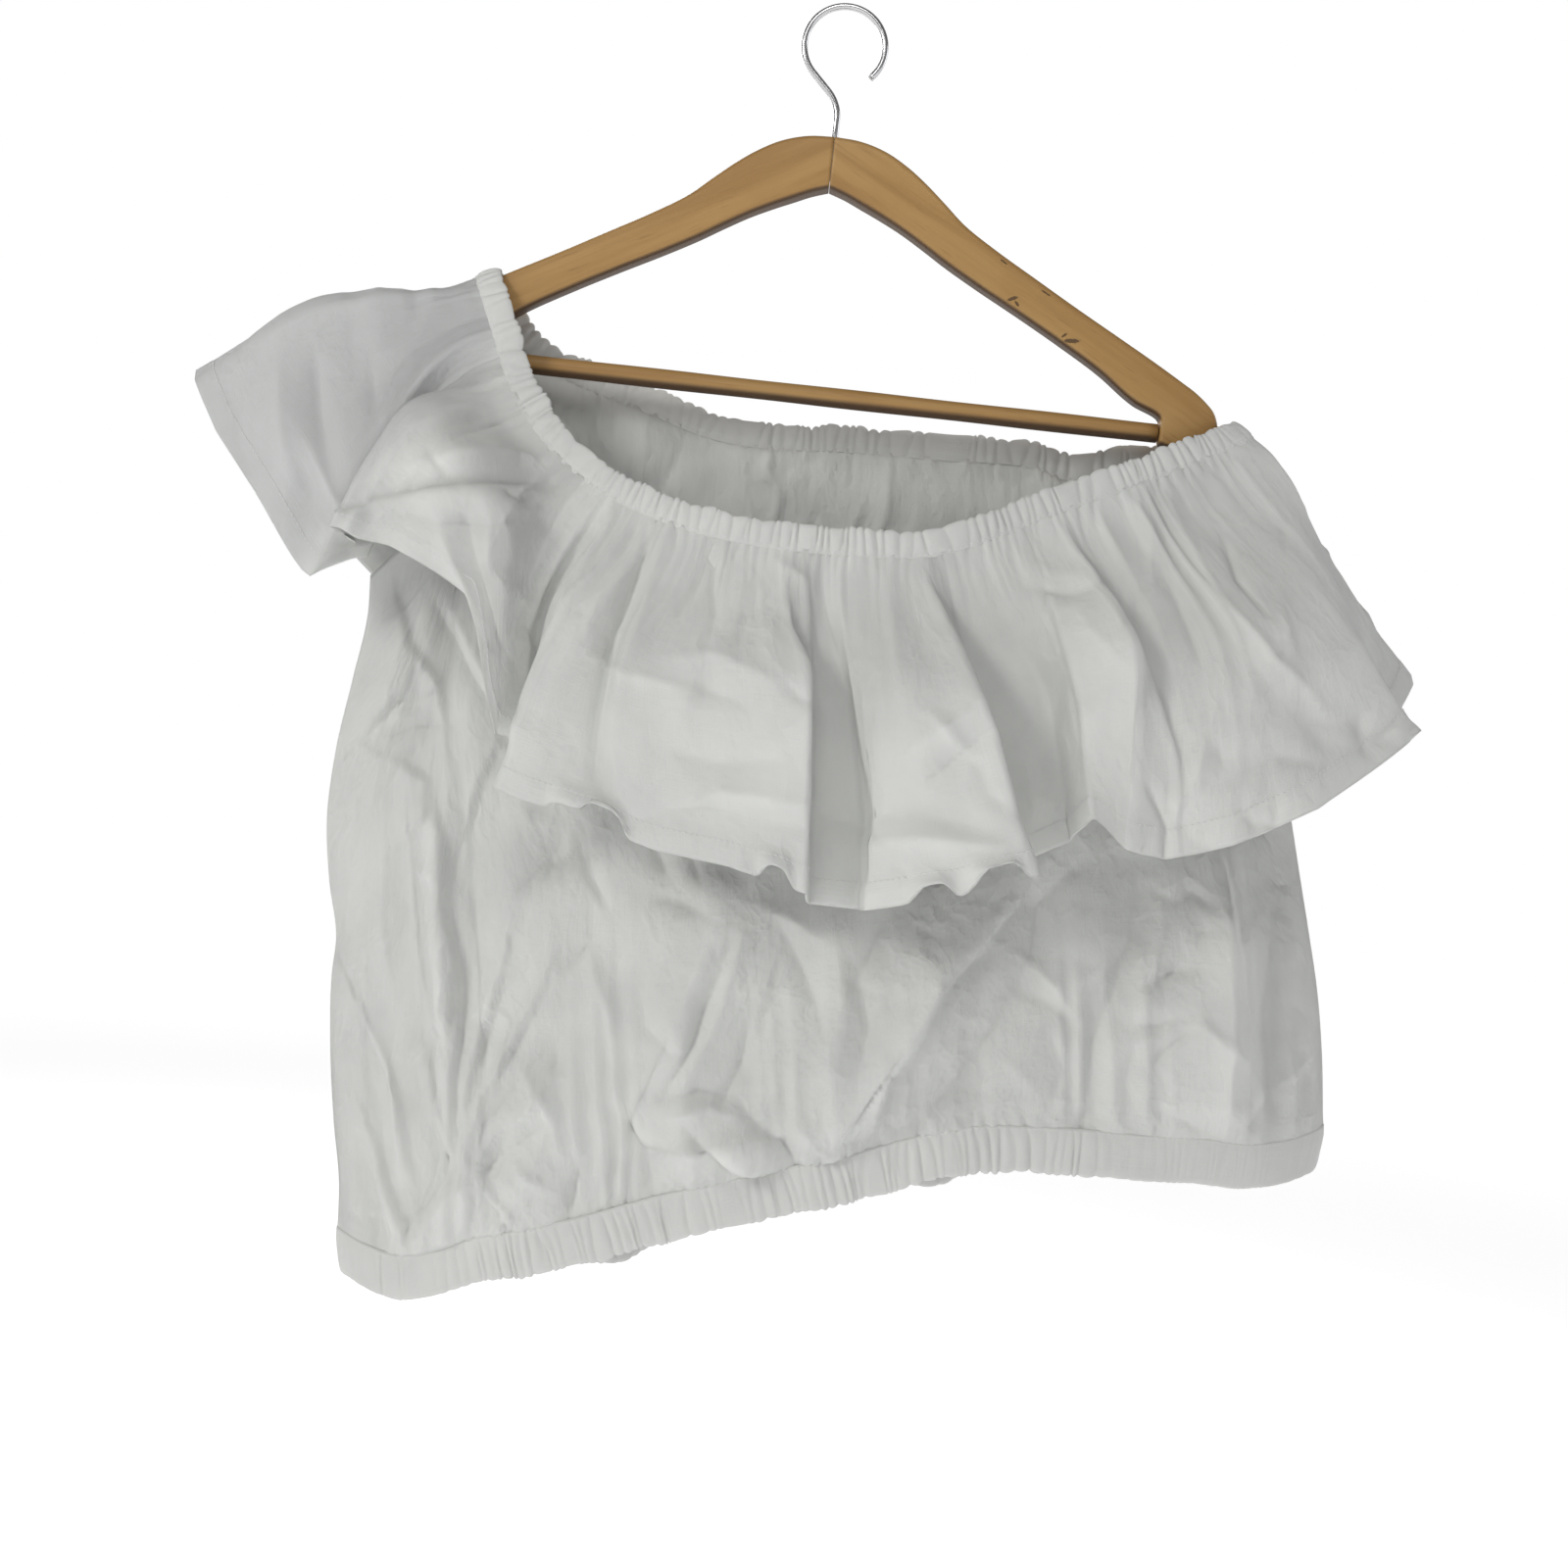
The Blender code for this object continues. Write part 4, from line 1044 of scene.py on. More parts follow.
def fold_over(grid, edges, side, free):
    """Raises the cloth along an edge and pushes it over the cloth beside it, where it is free."""
    for lift, run, push, *route in edges.values():
        _, signed, walked, left = walk_beside(route, grid[..., (0, 2)])
        ends = np.clip(walked * (1 - 2 * EDGE_ENDS) + EDGE_ENDS, 0, 1)
        fade = free * np.sin(np.pi * ends) ** EDGE_FADE
        proud = (1 + np.tanh((signed + EDGE_SHIFT) / EDGE_STEP)) / 2
        rise = proud * np.exp(-np.maximum(signed, 0) / run)
        dip = (1 - proud) * DIP_DEPTH * np.exp(-np.maximum(-signed, 0) / DIP_RUN)
        grid[..., 1] += side * lift * (rise - dip) * fade
        over = push * fade * rise * np.exp(-np.maximum(signed, 0) / PUSH_RUN)
        grid[..., 0] += left[..., 0] * over
        grid[..., 2] += left[..., 1] * over


def small_creases(grid, seed, count, lean):
    """How far short seeded creases all over a grid lift it; most of them lean by some degrees."""
    luck = np.random.default_rng(seed)
    low_x, low_z = grid[..., 0].min(), grid[..., 2].min()
    high_x, high_z = grid[..., 0].max(), grid[..., 2].max()
    made = {}
    for number in range(count):
        x = luck.uniform(low_x, high_x)
        z = luck.uniform(low_z, high_z)
        turn = math.radians(lean + luck.normal(0, SMALL_TURN))
        bend = math.radians(luck.normal(0, SMALL_BEND))
        long = luck.uniform(*SMALL_LONG)
        middle = (x + long * math.cos(turn), z + long * math.sin(turn))
        end = (middle[0] + long * math.cos(turn + bend), middle[1] + long * math.sin(turn + bend))
        lift = luck.choice((-1, -1, 1)) * luck.uniform(*SMALL_LIFT)
        made[number] = (luck.uniform(*SMALL_WIDE), lift, (x, z), middle, end)
    return crease_lift(made, grid)


def crumple(points, seed, height, size):
    """Crisp dents as in crushed cloth: uneven peaks joined by flat facets, longest downwards."""
    luck = np.random.default_rng(seed)
    noise.seed_set(seed)
    offset = Vector([seed * step for step in SEED_STEPS])
    often, far = FACET_BEND
    bent, strength = [], []
    for x, y, z in points.reshape(-1, 3):
        spot = Vector((x, y, z * FACET_SQUASH)) / size
        bend = noise.noise_vector(spot * often + offset)
        patch = PATCH_MEAN + PATCH_SWING * noise.noise(spot * PATCH_SIZE + offset)
        bent.append((spot.x + far * bend.x, spot.z + far * bend.z))
        strength.append(min(max(patch, PATCH_LEAST), 1.0))

    # Peaks stand on a staggered lattice, moved a little, and triangles join them.
    flat = np.array(bent)
    low = np.floor(flat.min(axis=0)) - 1
    across, tall = (np.ceil(flat.max(axis=0)) + 2 - low).astype(int)
    rows, columns = np.mgrid[0:tall, 0:across]
    peaks = np.stack([columns + 0.5 * (rows % 2), rows], axis=-1).reshape(-1, 2) + low
    peaks = peaks + luck.uniform(-PEAK_SHIFT, PEAK_SHIFT, peaks.shape)
    corners, _, triangles, *_ = delaunay_2d_cdt([Vector(peak) for peak in peaks], [], [], 0, 1e-6)
    heights = luck.normal(0, 1, len(corners))

    # Each point takes the height of the flat triangle that it lies in.
    order = np.argsort(flat[:, 0])
    ordered = flat[order, 0]
    dents = np.zeros(len(flat))
    for triangle in triangles:
        first, second, third = (np.array(corners[k]) for k in triangle)
        first_x, _, last_x = sorted((first[0], second[0], third[0]))
        chosen = order[slice(*np.searchsorted(ordered, (first_x, last_x)))]
        share = np.linalg.solve(np.stack([second - first, third - first], axis=1),
                                (flat[chosen] - first).T)
        inside = (share >= 0).all(axis=0) & (share.sum(axis=0) <= 1)
        start, *ends = heights[list(triangle)]
        dents[chosen[inside]] = start + (np.array(ends) - start) @ share[:, inside]
    return height * (dents * np.array(strength)).reshape(points.shape[:-1])


def ease_in(distance, over, least):
    """From least at a seam to 1 at some distance from it."""
    return np.clip(distance / over, 0, 1) * (1 - least) + least


def down_from(grid):
    """Distance of each point from its column's top, along the cloth."""
    steps = np.linalg.norm(np.diff(grid, axis=0), axis=-1)
    return np.concatenate([np.zeros((1, grid.shape[1])), np.cumsum(steps, axis=0)])


def flounce_grid(band, half, ribs):
    """Middle points of half the flounce, on the ribs alone."""
    table = np.array(list(ribs.values()), float)
    gathers = NECK_GATHERS[half]
    shares = np.linspace(0, 1, gathers * FLOUNCE_COLUMNS_A_GATHER[half] + 1)
    places = np.interp(shares * gathers, table[:, 0], np.arange(len(table)))
    start, down, _ = band.seam(half, shares, SEAM_LIFT)
    start = start - down * SEAM_TUCK
    leave = start + down * (LEAVE_STRAIGHT + SEAM_TUCK)
    knee, hem = (
        (1 - CRISP) * smooth_through(table[:, first:first + 3])(places)
        + CRISP * np.stack([np.interp(places, np.arange(len(table)), table[:, first + axis])
                            for axis in range(3)], axis=1)
        for first in (1, 4))
    for line in (knee, hem):
        line[0, 1] = line[-1, 1] = 0
    columns = []
    for k in range(len(places)):
        rib = smooth_through((start[k], leave[k], knee[k], hem[k]))
        columns.append(rib(even_places(rib, 0, 3, np.linspace(0, 1, FLOUNCE_ROWS))))
    return np.array(columns).transpose(1, 0, 2), shares


def curl_hem(grid, curls, forward):
    """Bends the last of the cloth above the hem outwards and up, where it curls."""
    fallen = down_from(grid)
    above = fallen[-1] - fallen
    for x, half_width, push, rise in curls.values():
        share = np.exp(-((grid[-1, :, 0] - x) / half_width) ** 4)[None, :]
        bend = np.clip(1 - above / CURL_HEIGHT, 0, 1)
        grid[..., 1] += forward * push * np.sin(CURL_TURN * bend) * share
        grid[..., 2] += rise * bend ** 2 * share


def make_flounce(half, ribs, creases, edges, seed):
    """Half of the flounce: its folds, gathers and creases, the curled hem and its stitches."""
    grid, shares = flounce_grid(neck, half, ribs)
    side = -1 if half == "front" else 1
    away = down_from(grid)
    gathers = neck_gathers[half]
    gathered = gathers.lift(shares[None, :], away) * FLOUNCE_GATHER
    lift = gathers.merge(shares[None, :], away, *FLOUNCE_MERGE)
    out = normals_of(grid)
    folds = crease_lift(creases, grid)
    folds += small_creases(grid, seed, *FLOUNCE_SMALL[half])
    lift += folds * np.sign(out[..., 1] * side + TURNED_OVER)
    for number, (height, size) in enumerate(FLOUNCE_FACETS):
        lift += crumple(grid, seed + FACET_SEEDS * number, height, size)
    ends = side_rest(shares, FLOUNCE_ENDS)[None, :]
    grid = grid + out * ((lift * ease_in(away, *FLOUNCE_EASE) + gathered) * ends)[..., None]
    fold_over(grid, edges, side, np.clip(away / FLOUNCE_FREE - 0.1, 0, 1))
    if half == "front":
        curl_hem(grid, HEM_CURLS, side)
    fallen = down_from(grid)
    hem_share = np.clip((fallen[-1] - fallen) / HEM_TURN, 0, 1)
    thick = np.where(hem_share < 1, HEM_THICK, CLOTH)
    stitched = np.argmin(np.abs(hem_share.mean(axis=1) - HEM_STITCH_UP))
    out = normals_of(grid)[stitched]
    stitches = stitch_line("flounce_stitches_" + half, grid[stitched] + out * HEM_THICK / 2, out)
    return cloth_shell("flounce_" + half, grid, flounce_cotton, thick), stitches


for half, ribs, creases, edges, seed in (
        ("front", FRONT_RIBS, FLOUNCE_CREASES, FLOUNCE_EDGES, 21),
        ("back", BACK_RIBS, BACK_FLOUNCE_CREASES, BACK_FLOUNCE_EDGES, 22)):
    flounce, stitches = make_flounce(half, ribs, creases, edges, seed)
    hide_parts(half + "_flounce")


# Hem casing. A wider doubled band with its own elastic, stitched to the body's lower edge. It is
# drawn in unevenly, so that some stretches lie smooth, and it hangs low at the left.

HEM_WIDTH = 24.0
HEM_BAND_THICK = 2.6
HEM_PLEATS = {"front": 96, "back": 76}
HEM_SMOOTH = {
    # share of the band from its first end, and how strongly it is gathered there
    "front": ((0, 0.5), (0.16, 0.6), (0.22, 1.0), (0.30, 0.9), (0.42, 0.6), (0.52, 1.0), (0.66, 1.1),
              (0.74, 0.7), (0.80, 0.3), (1, 0.25)),
    "back": ((0, 0.4), (0.2, 0.9), (0.5, 0.7), (0.7, 1.1), (0.9, 0.8), (1, 0.5)),
}
HEM_FRONT = (
    # x, y and z of the band's lower edge, and the way it falls, in degrees towards +X
    (-196, 0, -702, 12),
    (-195, -4, -702.4, 12),
    (-190, -8, -703.8, 12),
    (-181, -12, -707, 11),
    (-165, -17, -710, 10),
    (-144, -24, -705, 14),
    (-124, -28, -695, 16),
    (-93, -33, -686, 18),
    (-63, -37, -675, 20),
    (-24, -41, -659, 20),
    (6, -43, -648, 19),
    (35, -44, -638, 19),
    (70, -45, -627, 18),
    (89, -45, -619, 16),
    (114, -44, -610, 12),
    (134, -42, -605, 7),
    (159, -40, -603, 2),
    (185, -37, -602, 0),
    (217, -33, -602, 0),
    (248, -29, -601, -2),
    (275, -22, -602, -2),
    (301, -9, -598, -4),
    (316, 1, -592, -5),
)
HEM_BACK = (
    (318, 6, -591, -5),
    (316, 11, -592, -4),
    (304, 18, -599, 0),
    (270, 24, -605, 0),
    (215, 28, -606, 0),
    (165, 30, -606, 4),
    (142, 31, -613, 8),
    (122, 32, -627, 8),
    (98, 32, -629, 8),
    (76, 31, -631, 12),
    (30, 30, -643, 16),
    (-8, 29, -657, 16),
    (-30, 29, -675, 16),
    (-52, 28, -689, 16),
    (-76, 27, -689, 16),
    (-110, 25, -692, 16),
    (-150, 20, -708, 14),
    (-184, 9, -709, 12),
    (-195, 4, -702.8, 12),
)

hem = Band(HEM_FRONT, HEM_BACK, HEM_WIDTH, -1)
hem_gathers = {
    "front": Gathers(HEM_PLEATS["front"], 0.85, 26.0, 31, HEM_SMOOTH["front"]),
    "back": Gathers(HEM_PLEATS["back"], 0.85, 26.0, 32, HEM_SMOOTH["back"]),
}
for half in ("front", "back"):
    casing, stitches = make_casing("hem_band_" + half, hem, half, hem_gathers[half],
                                   HEM_BAND_THICK, casing_cotton, HEM_STITCHED)
    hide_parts("hem_casing_" + half)


# Body. A front and a back panel of the same cotton, gathered into both casings and joined at the
# sides, with open armholes above. Both are badly creased, most of all at the low left.

LEFT_SEAM = (0.0, (
    (-222, -330), (-221, -350), (-225, -385), (-230, -425), (-231, -460), (-226, -495),
    (-219, -525), (-219, -545), (-216, -580), (-209, -625), (-203, -655)))
RIGHT_SEAM = (6.0, (
    (262, -302), (272, -356), (285, -405), (293, -435), (302, -468), (309, -495), (316, -533)))
ARMHOLES = {"front": (6, 56), "back": (4, 36)}
ARMHOLE_BOW = 10.0
FRONT_SET_BACK = ((0.0, 0), (0.15, 8), (0.3, 12), (0.5, 10), (0.68, 2), (0.85, -6), (0.95, -4),
                  (1.0, 0))
BACK_SET_OUT = ((0.0, 0), (0.08, -3), (0.25, -4), (0.5, 2), (0.7, 6), (0.87, 9), (0.95, 5),
                (1.0, 0))
BODY_COLUMNS = {"front": (52, 232, 46), "back": (44, 190, 46)}
BODY_SPLIT = {"front": (0.12, 0.90), "back": (0.11, 0.86)}
BODY_ROWS = {"front": 145, "back": 130}
SIDE_EASE = 1.8
FALL_EASE = 0.92
BODY_TUCK = 2.0
TUCK_ENDS = 0.03
FOLD_SIDES = 0.12
FOLD_ENDS = (0.08, 0.06)
HEM_GATHER = 1.3
HEM_MERGE = (2.2, 30.0)
BODY_EASE = (8.0, 0.2)
BODY_SIDES = 0.05
BODY_FREE = 20.0
BODY_SMALL = (120, -75)
BODY_FACETS = ((3.6, 26.0), (0.9, 12.0))
CRUSHED = {"front": ((-210, -150, -60, 130), (0.7, 1.0, 1.0, 0.55)), "back": ((-80, 160), (0.9, 0.7))}
FRONT_FOLDS = {
    # half width, lift, then x and z along the fold
    "diagonal front": (22, 8, (108, -492), (58, -602)),
    "diagonal back": (20, -6, (150, -498), (92, -600)),
    "side ridge": (12, 7, (248, -440), (262, -585)),
    "side trough": (10, -6, (276, -440), (286, -580)),
    "left ridge": (14, 6, (-178, -420), (-152, -560)),
    "left trough": (13, -5, (-150, -470), (-120, -620)),
    "left hem ridge": (12, 5, (-118, -560), (-132, -672)),
    "middle ridge": (15, 5, (-10, -480), (-50, -600)),
    "hem pouch": (18, 6, (-40, -612), (30, -606)),
    "side crush": (12, 4, (-205, -500), (-190, -640)),
}
BACK_FOLDS = {
    "centre ridge": (18, 6, (30, -440), (10, -600)),
    "right trough": (16, -5, (120, -430), (150, -570)),
    "right ridge": (16, 6, (190, -420), (214, -560)),
    "left trough": (15, -5, (-70, -450), (-96, -640)),
    "left ridge": (16, 6, (-130, -430), (-150, -650)),
    "hem ridge": (14, 5, (70, -520), (90, -600)),
}
FRONT_CREASES = {
    # half width, lift (minus is a trough), then x and z along the crease
    "side edge": (6, -2.6, (-187, -462), (-182, -500), (-172, -536), (-166, -566)),
    "side edge ridge": (7, 2.0, (-197, -470), (-192, -516), (-180, -556)),
    "small ridge": (4, 2.2, (-178, -480), (-163, -488)),
    "long strip": (5, 2.6, (-176, -474), (-168, -500), (-157, -540), (-152, -580), (-150, -616)),
    "long trough": (5, -2.4, (-156, -500), (-143, -540), (-140, -580), (-143, -630)),
    "long trough low": (5, -2.4, (-160, -566), (-152, -600), (-148, -634)),
    "branch": (6, -2.8, (-108, -534), (-122, -566), (-132, -596), (-134, -612)),
    "branch ridge": (7, 2.2, (-122, -528), (-133, -560), (-142, -596)),
    "branch 2": (5, -2.6, (-88, -556), (-110, -586), (-124, -612), (-128, -640)),
    "branch 2 ridge": (8, 2.2, (-82, -570), (-102, -604), (-114, -630)),
    "vee top": (4, -2.8, (-92, -606), (-112, -622), (-124, -640)),
    "vee low": (5, -2.6, (-124, -640), (-110, -660), (-98, -672)),
    "vee ridge": (9, 2.2, (-84, -612), (-104, -640), (-92, -660)),
    "fan 1": (5, -2.2, (-200, -576), (-186, -612), (-178, -640)),
    "fan 2": (5, 2.0, (-206, -590), (-196, -630), (-192, -664)),
    "fan 3": (4, -2.2, (-194, -640), (-182, -668), (-176, -688)),
    "fan 4": (5, 2.0, (-168, -590), (-166, -630), (-164, -664)),
    "fan 5": (4, -2.2, (-152, -640), (-160, -668), (-166, -684)),
    "fan 6": (6, 2.0, (-136, -640), (-146, -662), (-156, -680)),
    "upper bend": (6, -2.2, (-176, -432), (-166, -456), (-158, -476)),
    "upper strip": (6, 2.0, (-186, -436), (-176, -460), (-170, -474)),
    "tick": (2.5, -2.2, (-92, -566), (-90, -580)),
    "middle ridge": (7, 3.2, (-108, -579), (-87, -602), (-81, -622)),
    "low tick": (3, -3.0, (-72, -616), (-75, -652)),
    "low ridge": (7, 3.0, (-62, -612), (-64, -650)),
    "centre line": (3, -2.8, (-8, -500), (-20, -554), (-34, -584)),
    "centre strip": (6, 2.6, (-2, -496), (-12, -550), (-24, -584)),
    "centre line 2": (3, -2.6, (8, -530), (4, -560), (-4, -586)),
    "pouch arc": (4, -5.0, (8, -586), (30, -600), (43, -618), (30, -634), (8, -640), (-14, -638)),
    "pouch swell": (11, 5.0, (-6, -606), (14, -612), (24, -620)),
    "pouch left": (4, -3.6, (-56, -596), (-42, -612), (-34, -636)),
    "pouch middle": (4, -3.4, (-20, -597), (3, -618), (22, -626)),
    "pouch peak": (6, 3.8, (-30, -594), (-9, -585), (7, -589)),
    "pouch top": (4, -3.2, (-34, -586), (-16, -578), (2, -580)),
    "pouch right": (6, 3.2, (40, -590), (56, -606), (50, -630)),
    "flap line": (4, -3.6, (-186, -340), (-167, -369), (-137, -409)),
    "flap ridge": (7, 3.2, (-176, -344), (-156, -372), (-128, -408)),
    "side bite": (5, -3.2, (-193, -388), (-212, -414)),
    "side bite low": (4, -2.6, (-212, -420), (-188, -408), (-168, -405)),
    "side bite ridge": (7, 2.0, (-206, -392), (-196, -404), (-176, -396)),
    "under flap": (6, -2.0, (-158, -430), (-154, -460), (-156, -492)),
    "under flap ridge": (8, 1.8, (-168, -424), (-164, -458), (-168, -486)),
    "side curve": (9, 1.6, (-190, -350), (-178, -387), (-168, -421), (-164, -440)),
    "side curve trough": (7, -1.8, (-200, -352), (-190, -380), (-184, -410)),
    "right fork": (5, -3.0, (167, -443), (150, -466), (149, -490), (143, -509)),
    "right fork top": (5, -2.2, (146, -510), (162, -515), (176, -526)),
    "right fork swell": (13, 2.4, (172, -462), (170, -492)),
    "right fall": (7, -3.4, (200, -436), (200, -479), (194, -500), (185, -533), (184, -578)),
    "right fall ridge": (10, 1.8, (216, -452), (212, -500), (200, -548)),
    "right short": (4, -2.4, (164, -532), (170, -548), (168, -566)),
    "right cross": (4, -2.4, (205, -505), (220, -494), (236, -488)),
    "right cross low": (4, -2.2, (204, -523), (218, -520), (234, -513)),
    "right swell": (14, 2.6, (140, -545), (158, -560)),
    "underarm left": (6, -3.2, (-100, -445), (-106, -466), (-122, -488)),
    "middle short 1": (3, -2.2, (-57, -450), (-45, -470)),
    "middle short 2": (3, -2.2, (-37, -453), (-26, -473)),
    "middle hook": (3, -2.4, (-82, -490), (-81, -510), (-94, -527)),
    "middle fall": (4, -2.6, (18, -490), (36, -520), (46, -542)),
    "middle fall 2": (4, -2.6, (57, -505), (66, -534), (62, -562)),
    "middle fall 3": (4, -2.4, (70, -478), (60, -512)),
    "middle fall ridge": (6, 2.6, (46, -492), (54, -524), (54, -556)),
    "low left 1": (5, -3.4, (-204, -556), (-186, -592), (-171, -630)),
    "low left 2": (4, -3.0, (-163, -640), (-164, -668)),
    "low left 3": (6, 3.4, (-187, -630), (-170, -662), (-162, -682)),
    "low left 4": (4, -3.0, (-151, -615), (-143, -638), (-157, -668)),
    "low left 5": (7, 3.0, (-192, -566), (-174, -600), (-160, -632)),
    "low left 6": (5, -3.0, (-198, -620), (-186, -650), (-174, -676)),
}
BACK_CREASES = {
    "neck crease": (3, -2.6, (-14, -232), (-18, -246), (-9, -260), (-12, -284)),
    "neck crease 2": (4, -2.0, (48, -236), (51, -262), (46, -290)),
    "neck crease 3": (4, 2.2, (-64, -228), (-68, -250), (-80, -276)),
    "upper cross": (5, -2.6, (150, -300), (110, -312), (70, -306)),
    "shoulder fall": (5, -2.8, (-110, -260), (-126, -300), (-122, -350)),
    "middle long": (4, -4.0, (60, -400), (46, -460), (52, -530), (44, -586)),
    "middle ridge": (7, 3.4, (72, -410), (60, -470), (66, -540)),
    "right fork": (4, -3.6, (150, -440), (170, -480), (164, -520)),
    "right fork 2": (4, -3.2, (196, -440), (170, -480)),
    "right swell": (10, 3.2, (190, -500), (204, -540)),
    "right low": (4, -3.0, (230, -520), (210, -560), (216, -590)),
    "side crush": (5, -3.4, (280, -470), (262, -510), (270, -560)),
    "left long": (4, -4.2, (-40, -430), (-60, -500), (-52, -570), (-66, -640)),
    "left ridge": (7, 3.4, (-28, -440), (-46, -505), (-38, -570)),
    "left fork": (4, -3.6, (-120, -470), (-104, -520), (-112, -570)),
    "left fork 2": (4, -3.2, (-80, -490), (-104, -520)),
    "left arc": (4, -3.8, (-150, -560), (-126, -590), (-100, -600), (-78, -592)),
    "left pouch": (10, 4.0, (-136, -576), (-100, -584)),
    "left low": (4, -3.4, (-170, -600), (-152, -640), (-160, -680)),
    "left side": (5, -3.0, (-204, -470), (-188, -510), (-196, -560)),
    "left side ridge": (7, 3.0, (-190, -460), (-176, -510), (-182, -560)),
    "low cross": (4, -2.8, (20, -600), (-6, -608), (-30, -622)),
}
FRONT_EDGES = {
    # lift, how far it runs back, overhang, then x and z along the edge, which is proud on its
    # right when it is walked from first to last
    "big diagonal": (9.0, 34.0, 2.5, (138, -462), (127, -476), (119, -490), (103, -509), (91, -541),
                     (80, -558), (72, -599)),
    "right vertical": (7.0, 24.0, 1.0, (243, -425), (251, -455), (258, -486), (265, -520),
                       (269, -538), (278, -552), (271, -566)),
    "upper hook": (3.8, 12.0, 0.0, (-204, -346), (-197, -366), (-178, -384), (-170, -410)),
    "upper cross": (3.2, 12.0, 0.0, (-184, -390), (-202, -393), (-219, -420)),
    "upper bow": (3.4, 12.0, 0.0, (-202, -426), (-178, -436), (-176, -456), (-192, -476)),
    "under point": (3.8, 14.0, 0.0, (-140, -406), (-151, -435), (-154, -461), (-148, -488)),
    "strip left": (4.2, 12.0, 0.0, (-184, -466), (-179, -492), (-174, -514), (-168, -537),
                   (-158, -560)),
    "strip right": (5.0, 10.0, 0.0, (-165, -472), (-161, -500), (-150, -530), (-145, -560),
                    (-145, -590), (-143, -626)),
    "branch": (4.4, 12.0, 0.0, (-124, -520), (-129, -552), (-135, -581), (-138, -612)),
    "branch right": (4.8, 14.0, 0.0, (-102, -532), (-115, -567), (-124, -588), (-130, -610),
                     (-132, -634)),
    "vee": (4.2, 14.0, 0.0, (-92, -590), (-117, -614), (-129, -638)),
    "vee foot": (4.0, 12.0, 0.0, (-127, -632), (-116, -648), (-98, -664)),
    "low left": (4.2, 14.0, 0.0, (-203, -556), (-183, -586), (-172, -606), (-166, -629),
                 (-158, -652)),
    "low left foot": (4.0, 12.0, 0.0, (-186, -626), (-173, -652), (-164, -670), (-160, -690)),
    "between": (3.4, 10.0, 0.0, (-162, -574), (-151, -604), (-143, -628)),
    "centre strip": (1.4, 12.0, 0.0, (-10, -466), (-18, -502), (-23, -539), (-29, -578)),
    "centre strip right": (2.2, 10.0, 0.0, (18, -500), (10, -540), (-2, -578)),
}
BACK_EDGES = {
    "left fall": (6.0, 26.0, 4.0, (-30, -420), (-40, -460), (-52, -510), (-54, -560), (-66, -610)),
    "right fall": (6.0, 26.0, 4.0, (140, -580), (146, -540), (158, -500), (160, -450)),
}


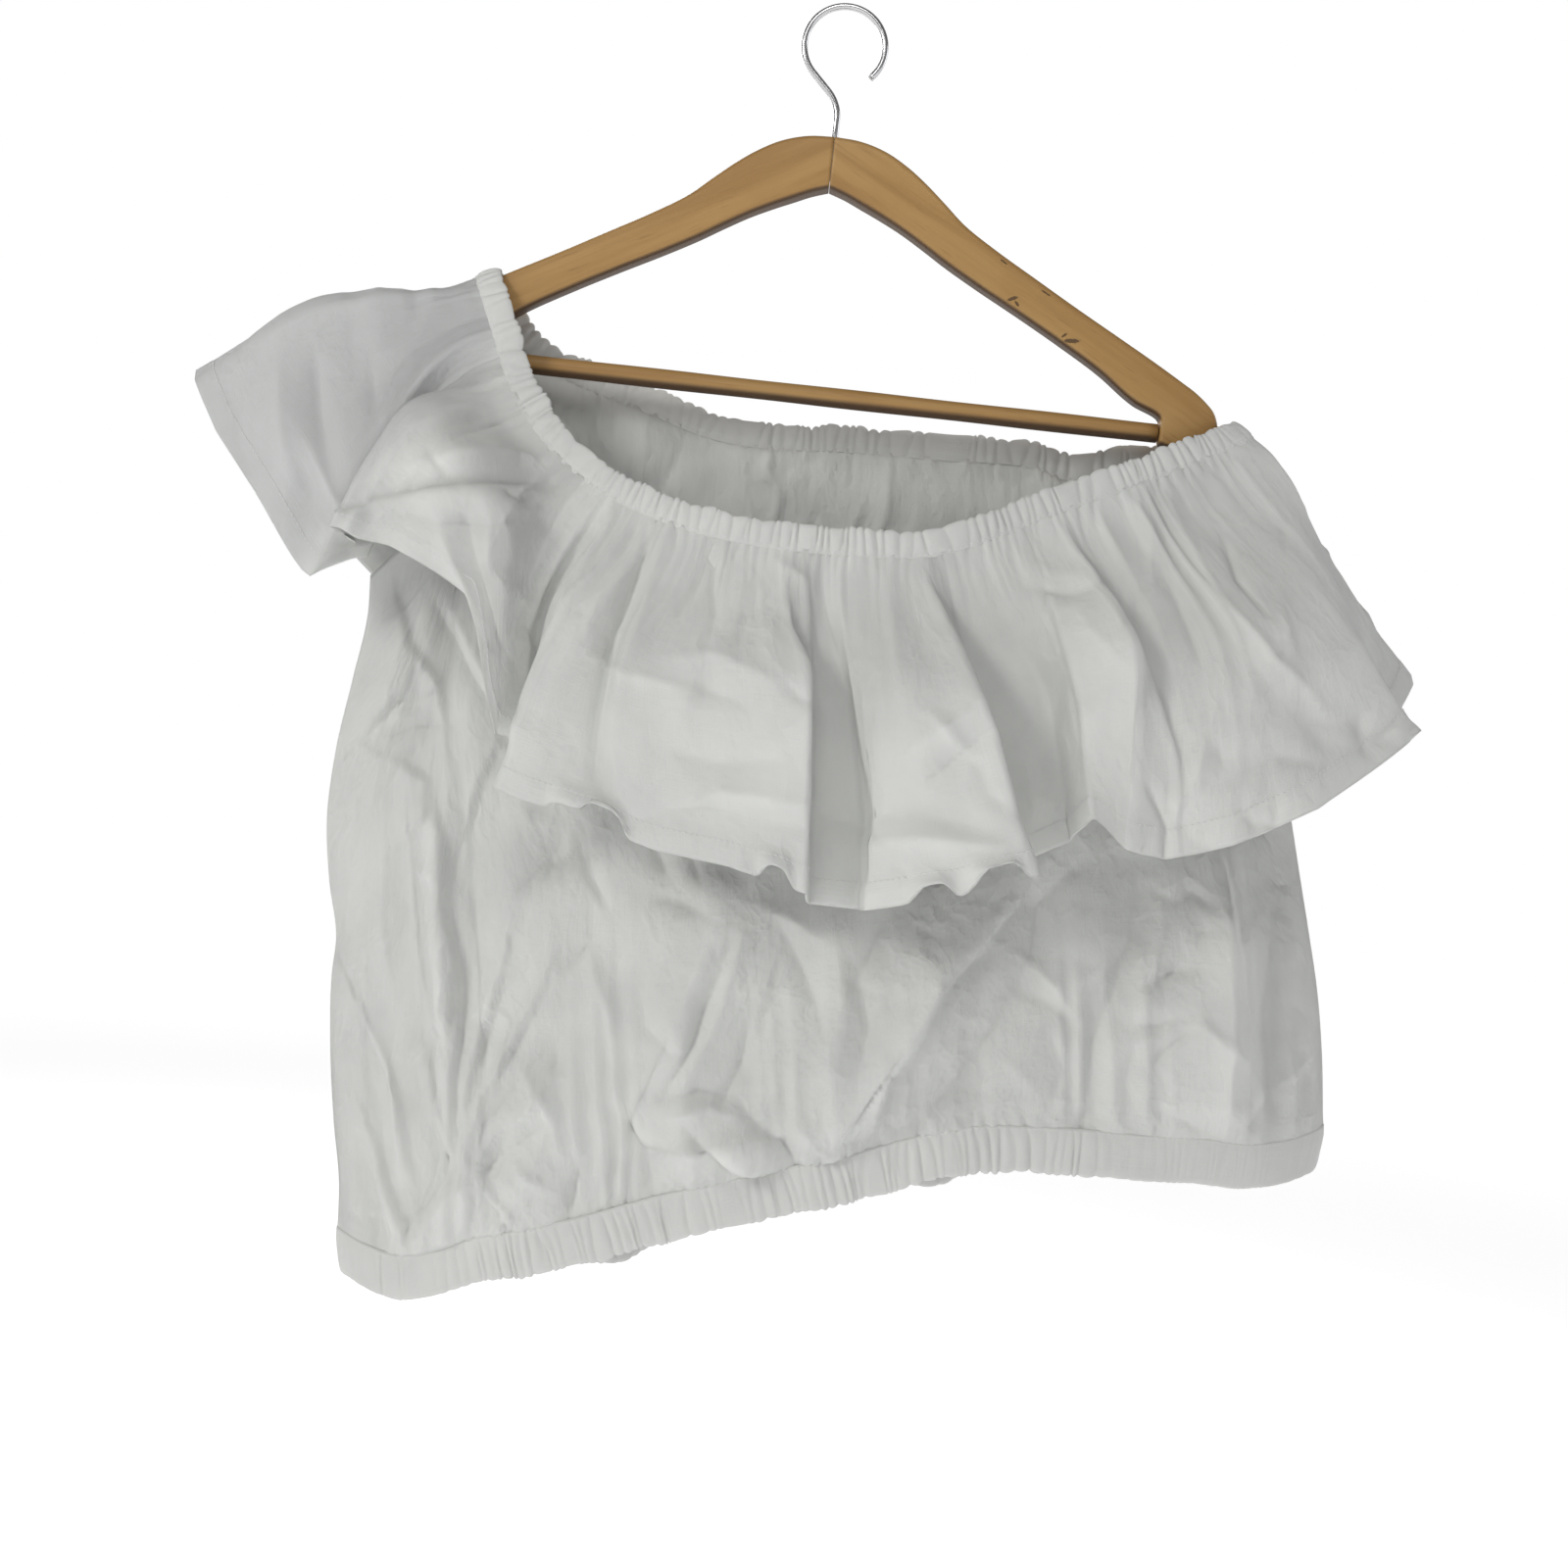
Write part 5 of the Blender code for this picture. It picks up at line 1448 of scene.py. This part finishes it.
def body_grid(half, seams, set_off, folds):
    """Middle points of a body panel between its neck, hem and side edges, with its main folds."""
    side = -1 if half == "front" else 1
    left_columns, neck_columns, right_columns = BODY_COLUMNS[half]
    low, high = BODY_SPLIT[half]
    across = np.concatenate([
        low * np.linspace(0, 1, left_columns + 1)[:-1] ** SIDE_EASE,
        np.linspace(low, high, neck_columns + 1),
        1 - (1 - high) * np.linspace(1, 0, right_columns + 1)[1:] ** SIDE_EASE,
    ])
    first_gather, last_gather = ARMHOLES[half]
    neck_shares = np.linspace(first_gather, last_gather, neck_columns + 1) / NECK_GATHERS[half]
    neck_line, neck_down, _ = neck.seam(half, neck_shares, -SEAM_LIFT)
    neck_line = neck_line - neck_down * BODY_TUCK
    bottom, hem_down, _ = hem.seam(half, across, 0.0)
    bottom = bottom + hem_down * BODY_TUCK * side_rest(across, TUCK_ENDS)[:, None]

    edges = []
    for number, (plane, seam) in enumerate(seams):
        points = [(x, plane, z) for x, z in seam]
        end = bottom[0] if number == 0 else bottom[-1]
        edges.append((smooth_through(points + [end]), len(points)))

    def armhole(under, corner, count):
        share = np.linspace(0, 1, count + 1)[:, None]
        inward = np.sign(corner[0] - under[0])
        bow = np.sin(np.pi * share) * np.array([inward * ARMHOLE_BOW, 0, -ARMHOLE_BOW])
        return under + (corner - under) * share + bow

    first_side = armhole(edges[0][0](0), neck_line[0], left_columns)
    last_side = armhole(edges[1][0](0), neck_line[-1], right_columns)[::-1]
    top = np.vstack([first_side[:-1], neck_line, last_side[1:]])
    falls = np.linspace(0, 1, BODY_ROWS[half]) ** FALL_EASE
    sides = [edge(even_places(edge, 0, last, falls)) for edge, last in edges]
    u = across[None, :, None]
    v = falls[:, None, None]
    grid = (1 - v) * top[None] + v * bottom[None]
    grid += (1 - u) * sides[0][:, None] + u * sides[1][:, None]
    grid -= (1 - v) * ((1 - u) * top[0] + u * top[-1])
    grid -= v * ((1 - u) * bottom[0] + u * bottom[-1])

    table = np.array(set_off, float)
    depth = np.interp(falls, table[:, 0], table[:, 1])[:, None]
    inside = side_rest(across, FOLD_SIDES)[None, :]
    ends = np.clip(np.minimum(falls / FOLD_ENDS[0], (1 - falls) / FOLD_ENDS[1]), 0, 1)[:, None]
    grid[..., 1] += depth * inside + side * crease_lift(folds, grid) * inside * ends
    return grid, across


def make_body(half, seams, set_off, folds, creases, edges, seed):
    """A body panel: its form, the gathers at both casings, and its creases."""
    grid, across = body_grid(half, seams, set_off, folds)
    side = -1 if half == "front" else 1
    away = down_from(grid)
    above_hem = away[-1] - away
    gathered = hem_gathers[half].lift(across[None, :], above_hem) * HEM_GATHER
    lift = hem_gathers[half].merge(across[None, :], above_hem, *HEM_MERGE)
    low, high = BODY_SPLIT[half]
    neck_share = np.interp(across, (low, high), ARMHOLES[half]) / NECK_GATHERS[half]
    held = ((across > low) & (across < high))[None, :]
    gathered += neck_gathers[half].lift(neck_share[None, :], away) * held
    out = normals_of(grid)
    lift += crease_lift(creases, grid) + small_creases(grid, seed, *BODY_SMALL)
    crushed = np.interp(grid[..., 0], *CRUSHED[half])
    for number, (height, size) in enumerate(BODY_FACETS):
        lift += crumple(grid, seed + FACET_SEEDS * number, height, size) * crushed
    inside = side_rest(across, BODY_SIDES)[None, :]
    from_seams = np.minimum(away, above_hem)
    lift = lift * ease_in(from_seams, *BODY_EASE) + gathered
    grid = grid + out * (lift * inside)[..., None]
    fold_over(grid, edges, side, np.clip(from_seams / BODY_FREE, 0, 1))
    return cloth_shell("body_" + half, grid, body_cotton)


bodies = {
    "front": make_body("front", (LEFT_SEAM, RIGHT_SEAM), FRONT_SET_BACK, FRONT_FOLDS,
                       FRONT_CREASES, FRONT_EDGES, 41),
    "back": make_body("back", (RIGHT_SEAM, LEFT_SEAM), BACK_SET_OUT, BACK_FOLDS,
                      BACK_CREASES, BACK_EDGES, 42),
}
for half, body in bodies.items():
    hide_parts(half + "_body")
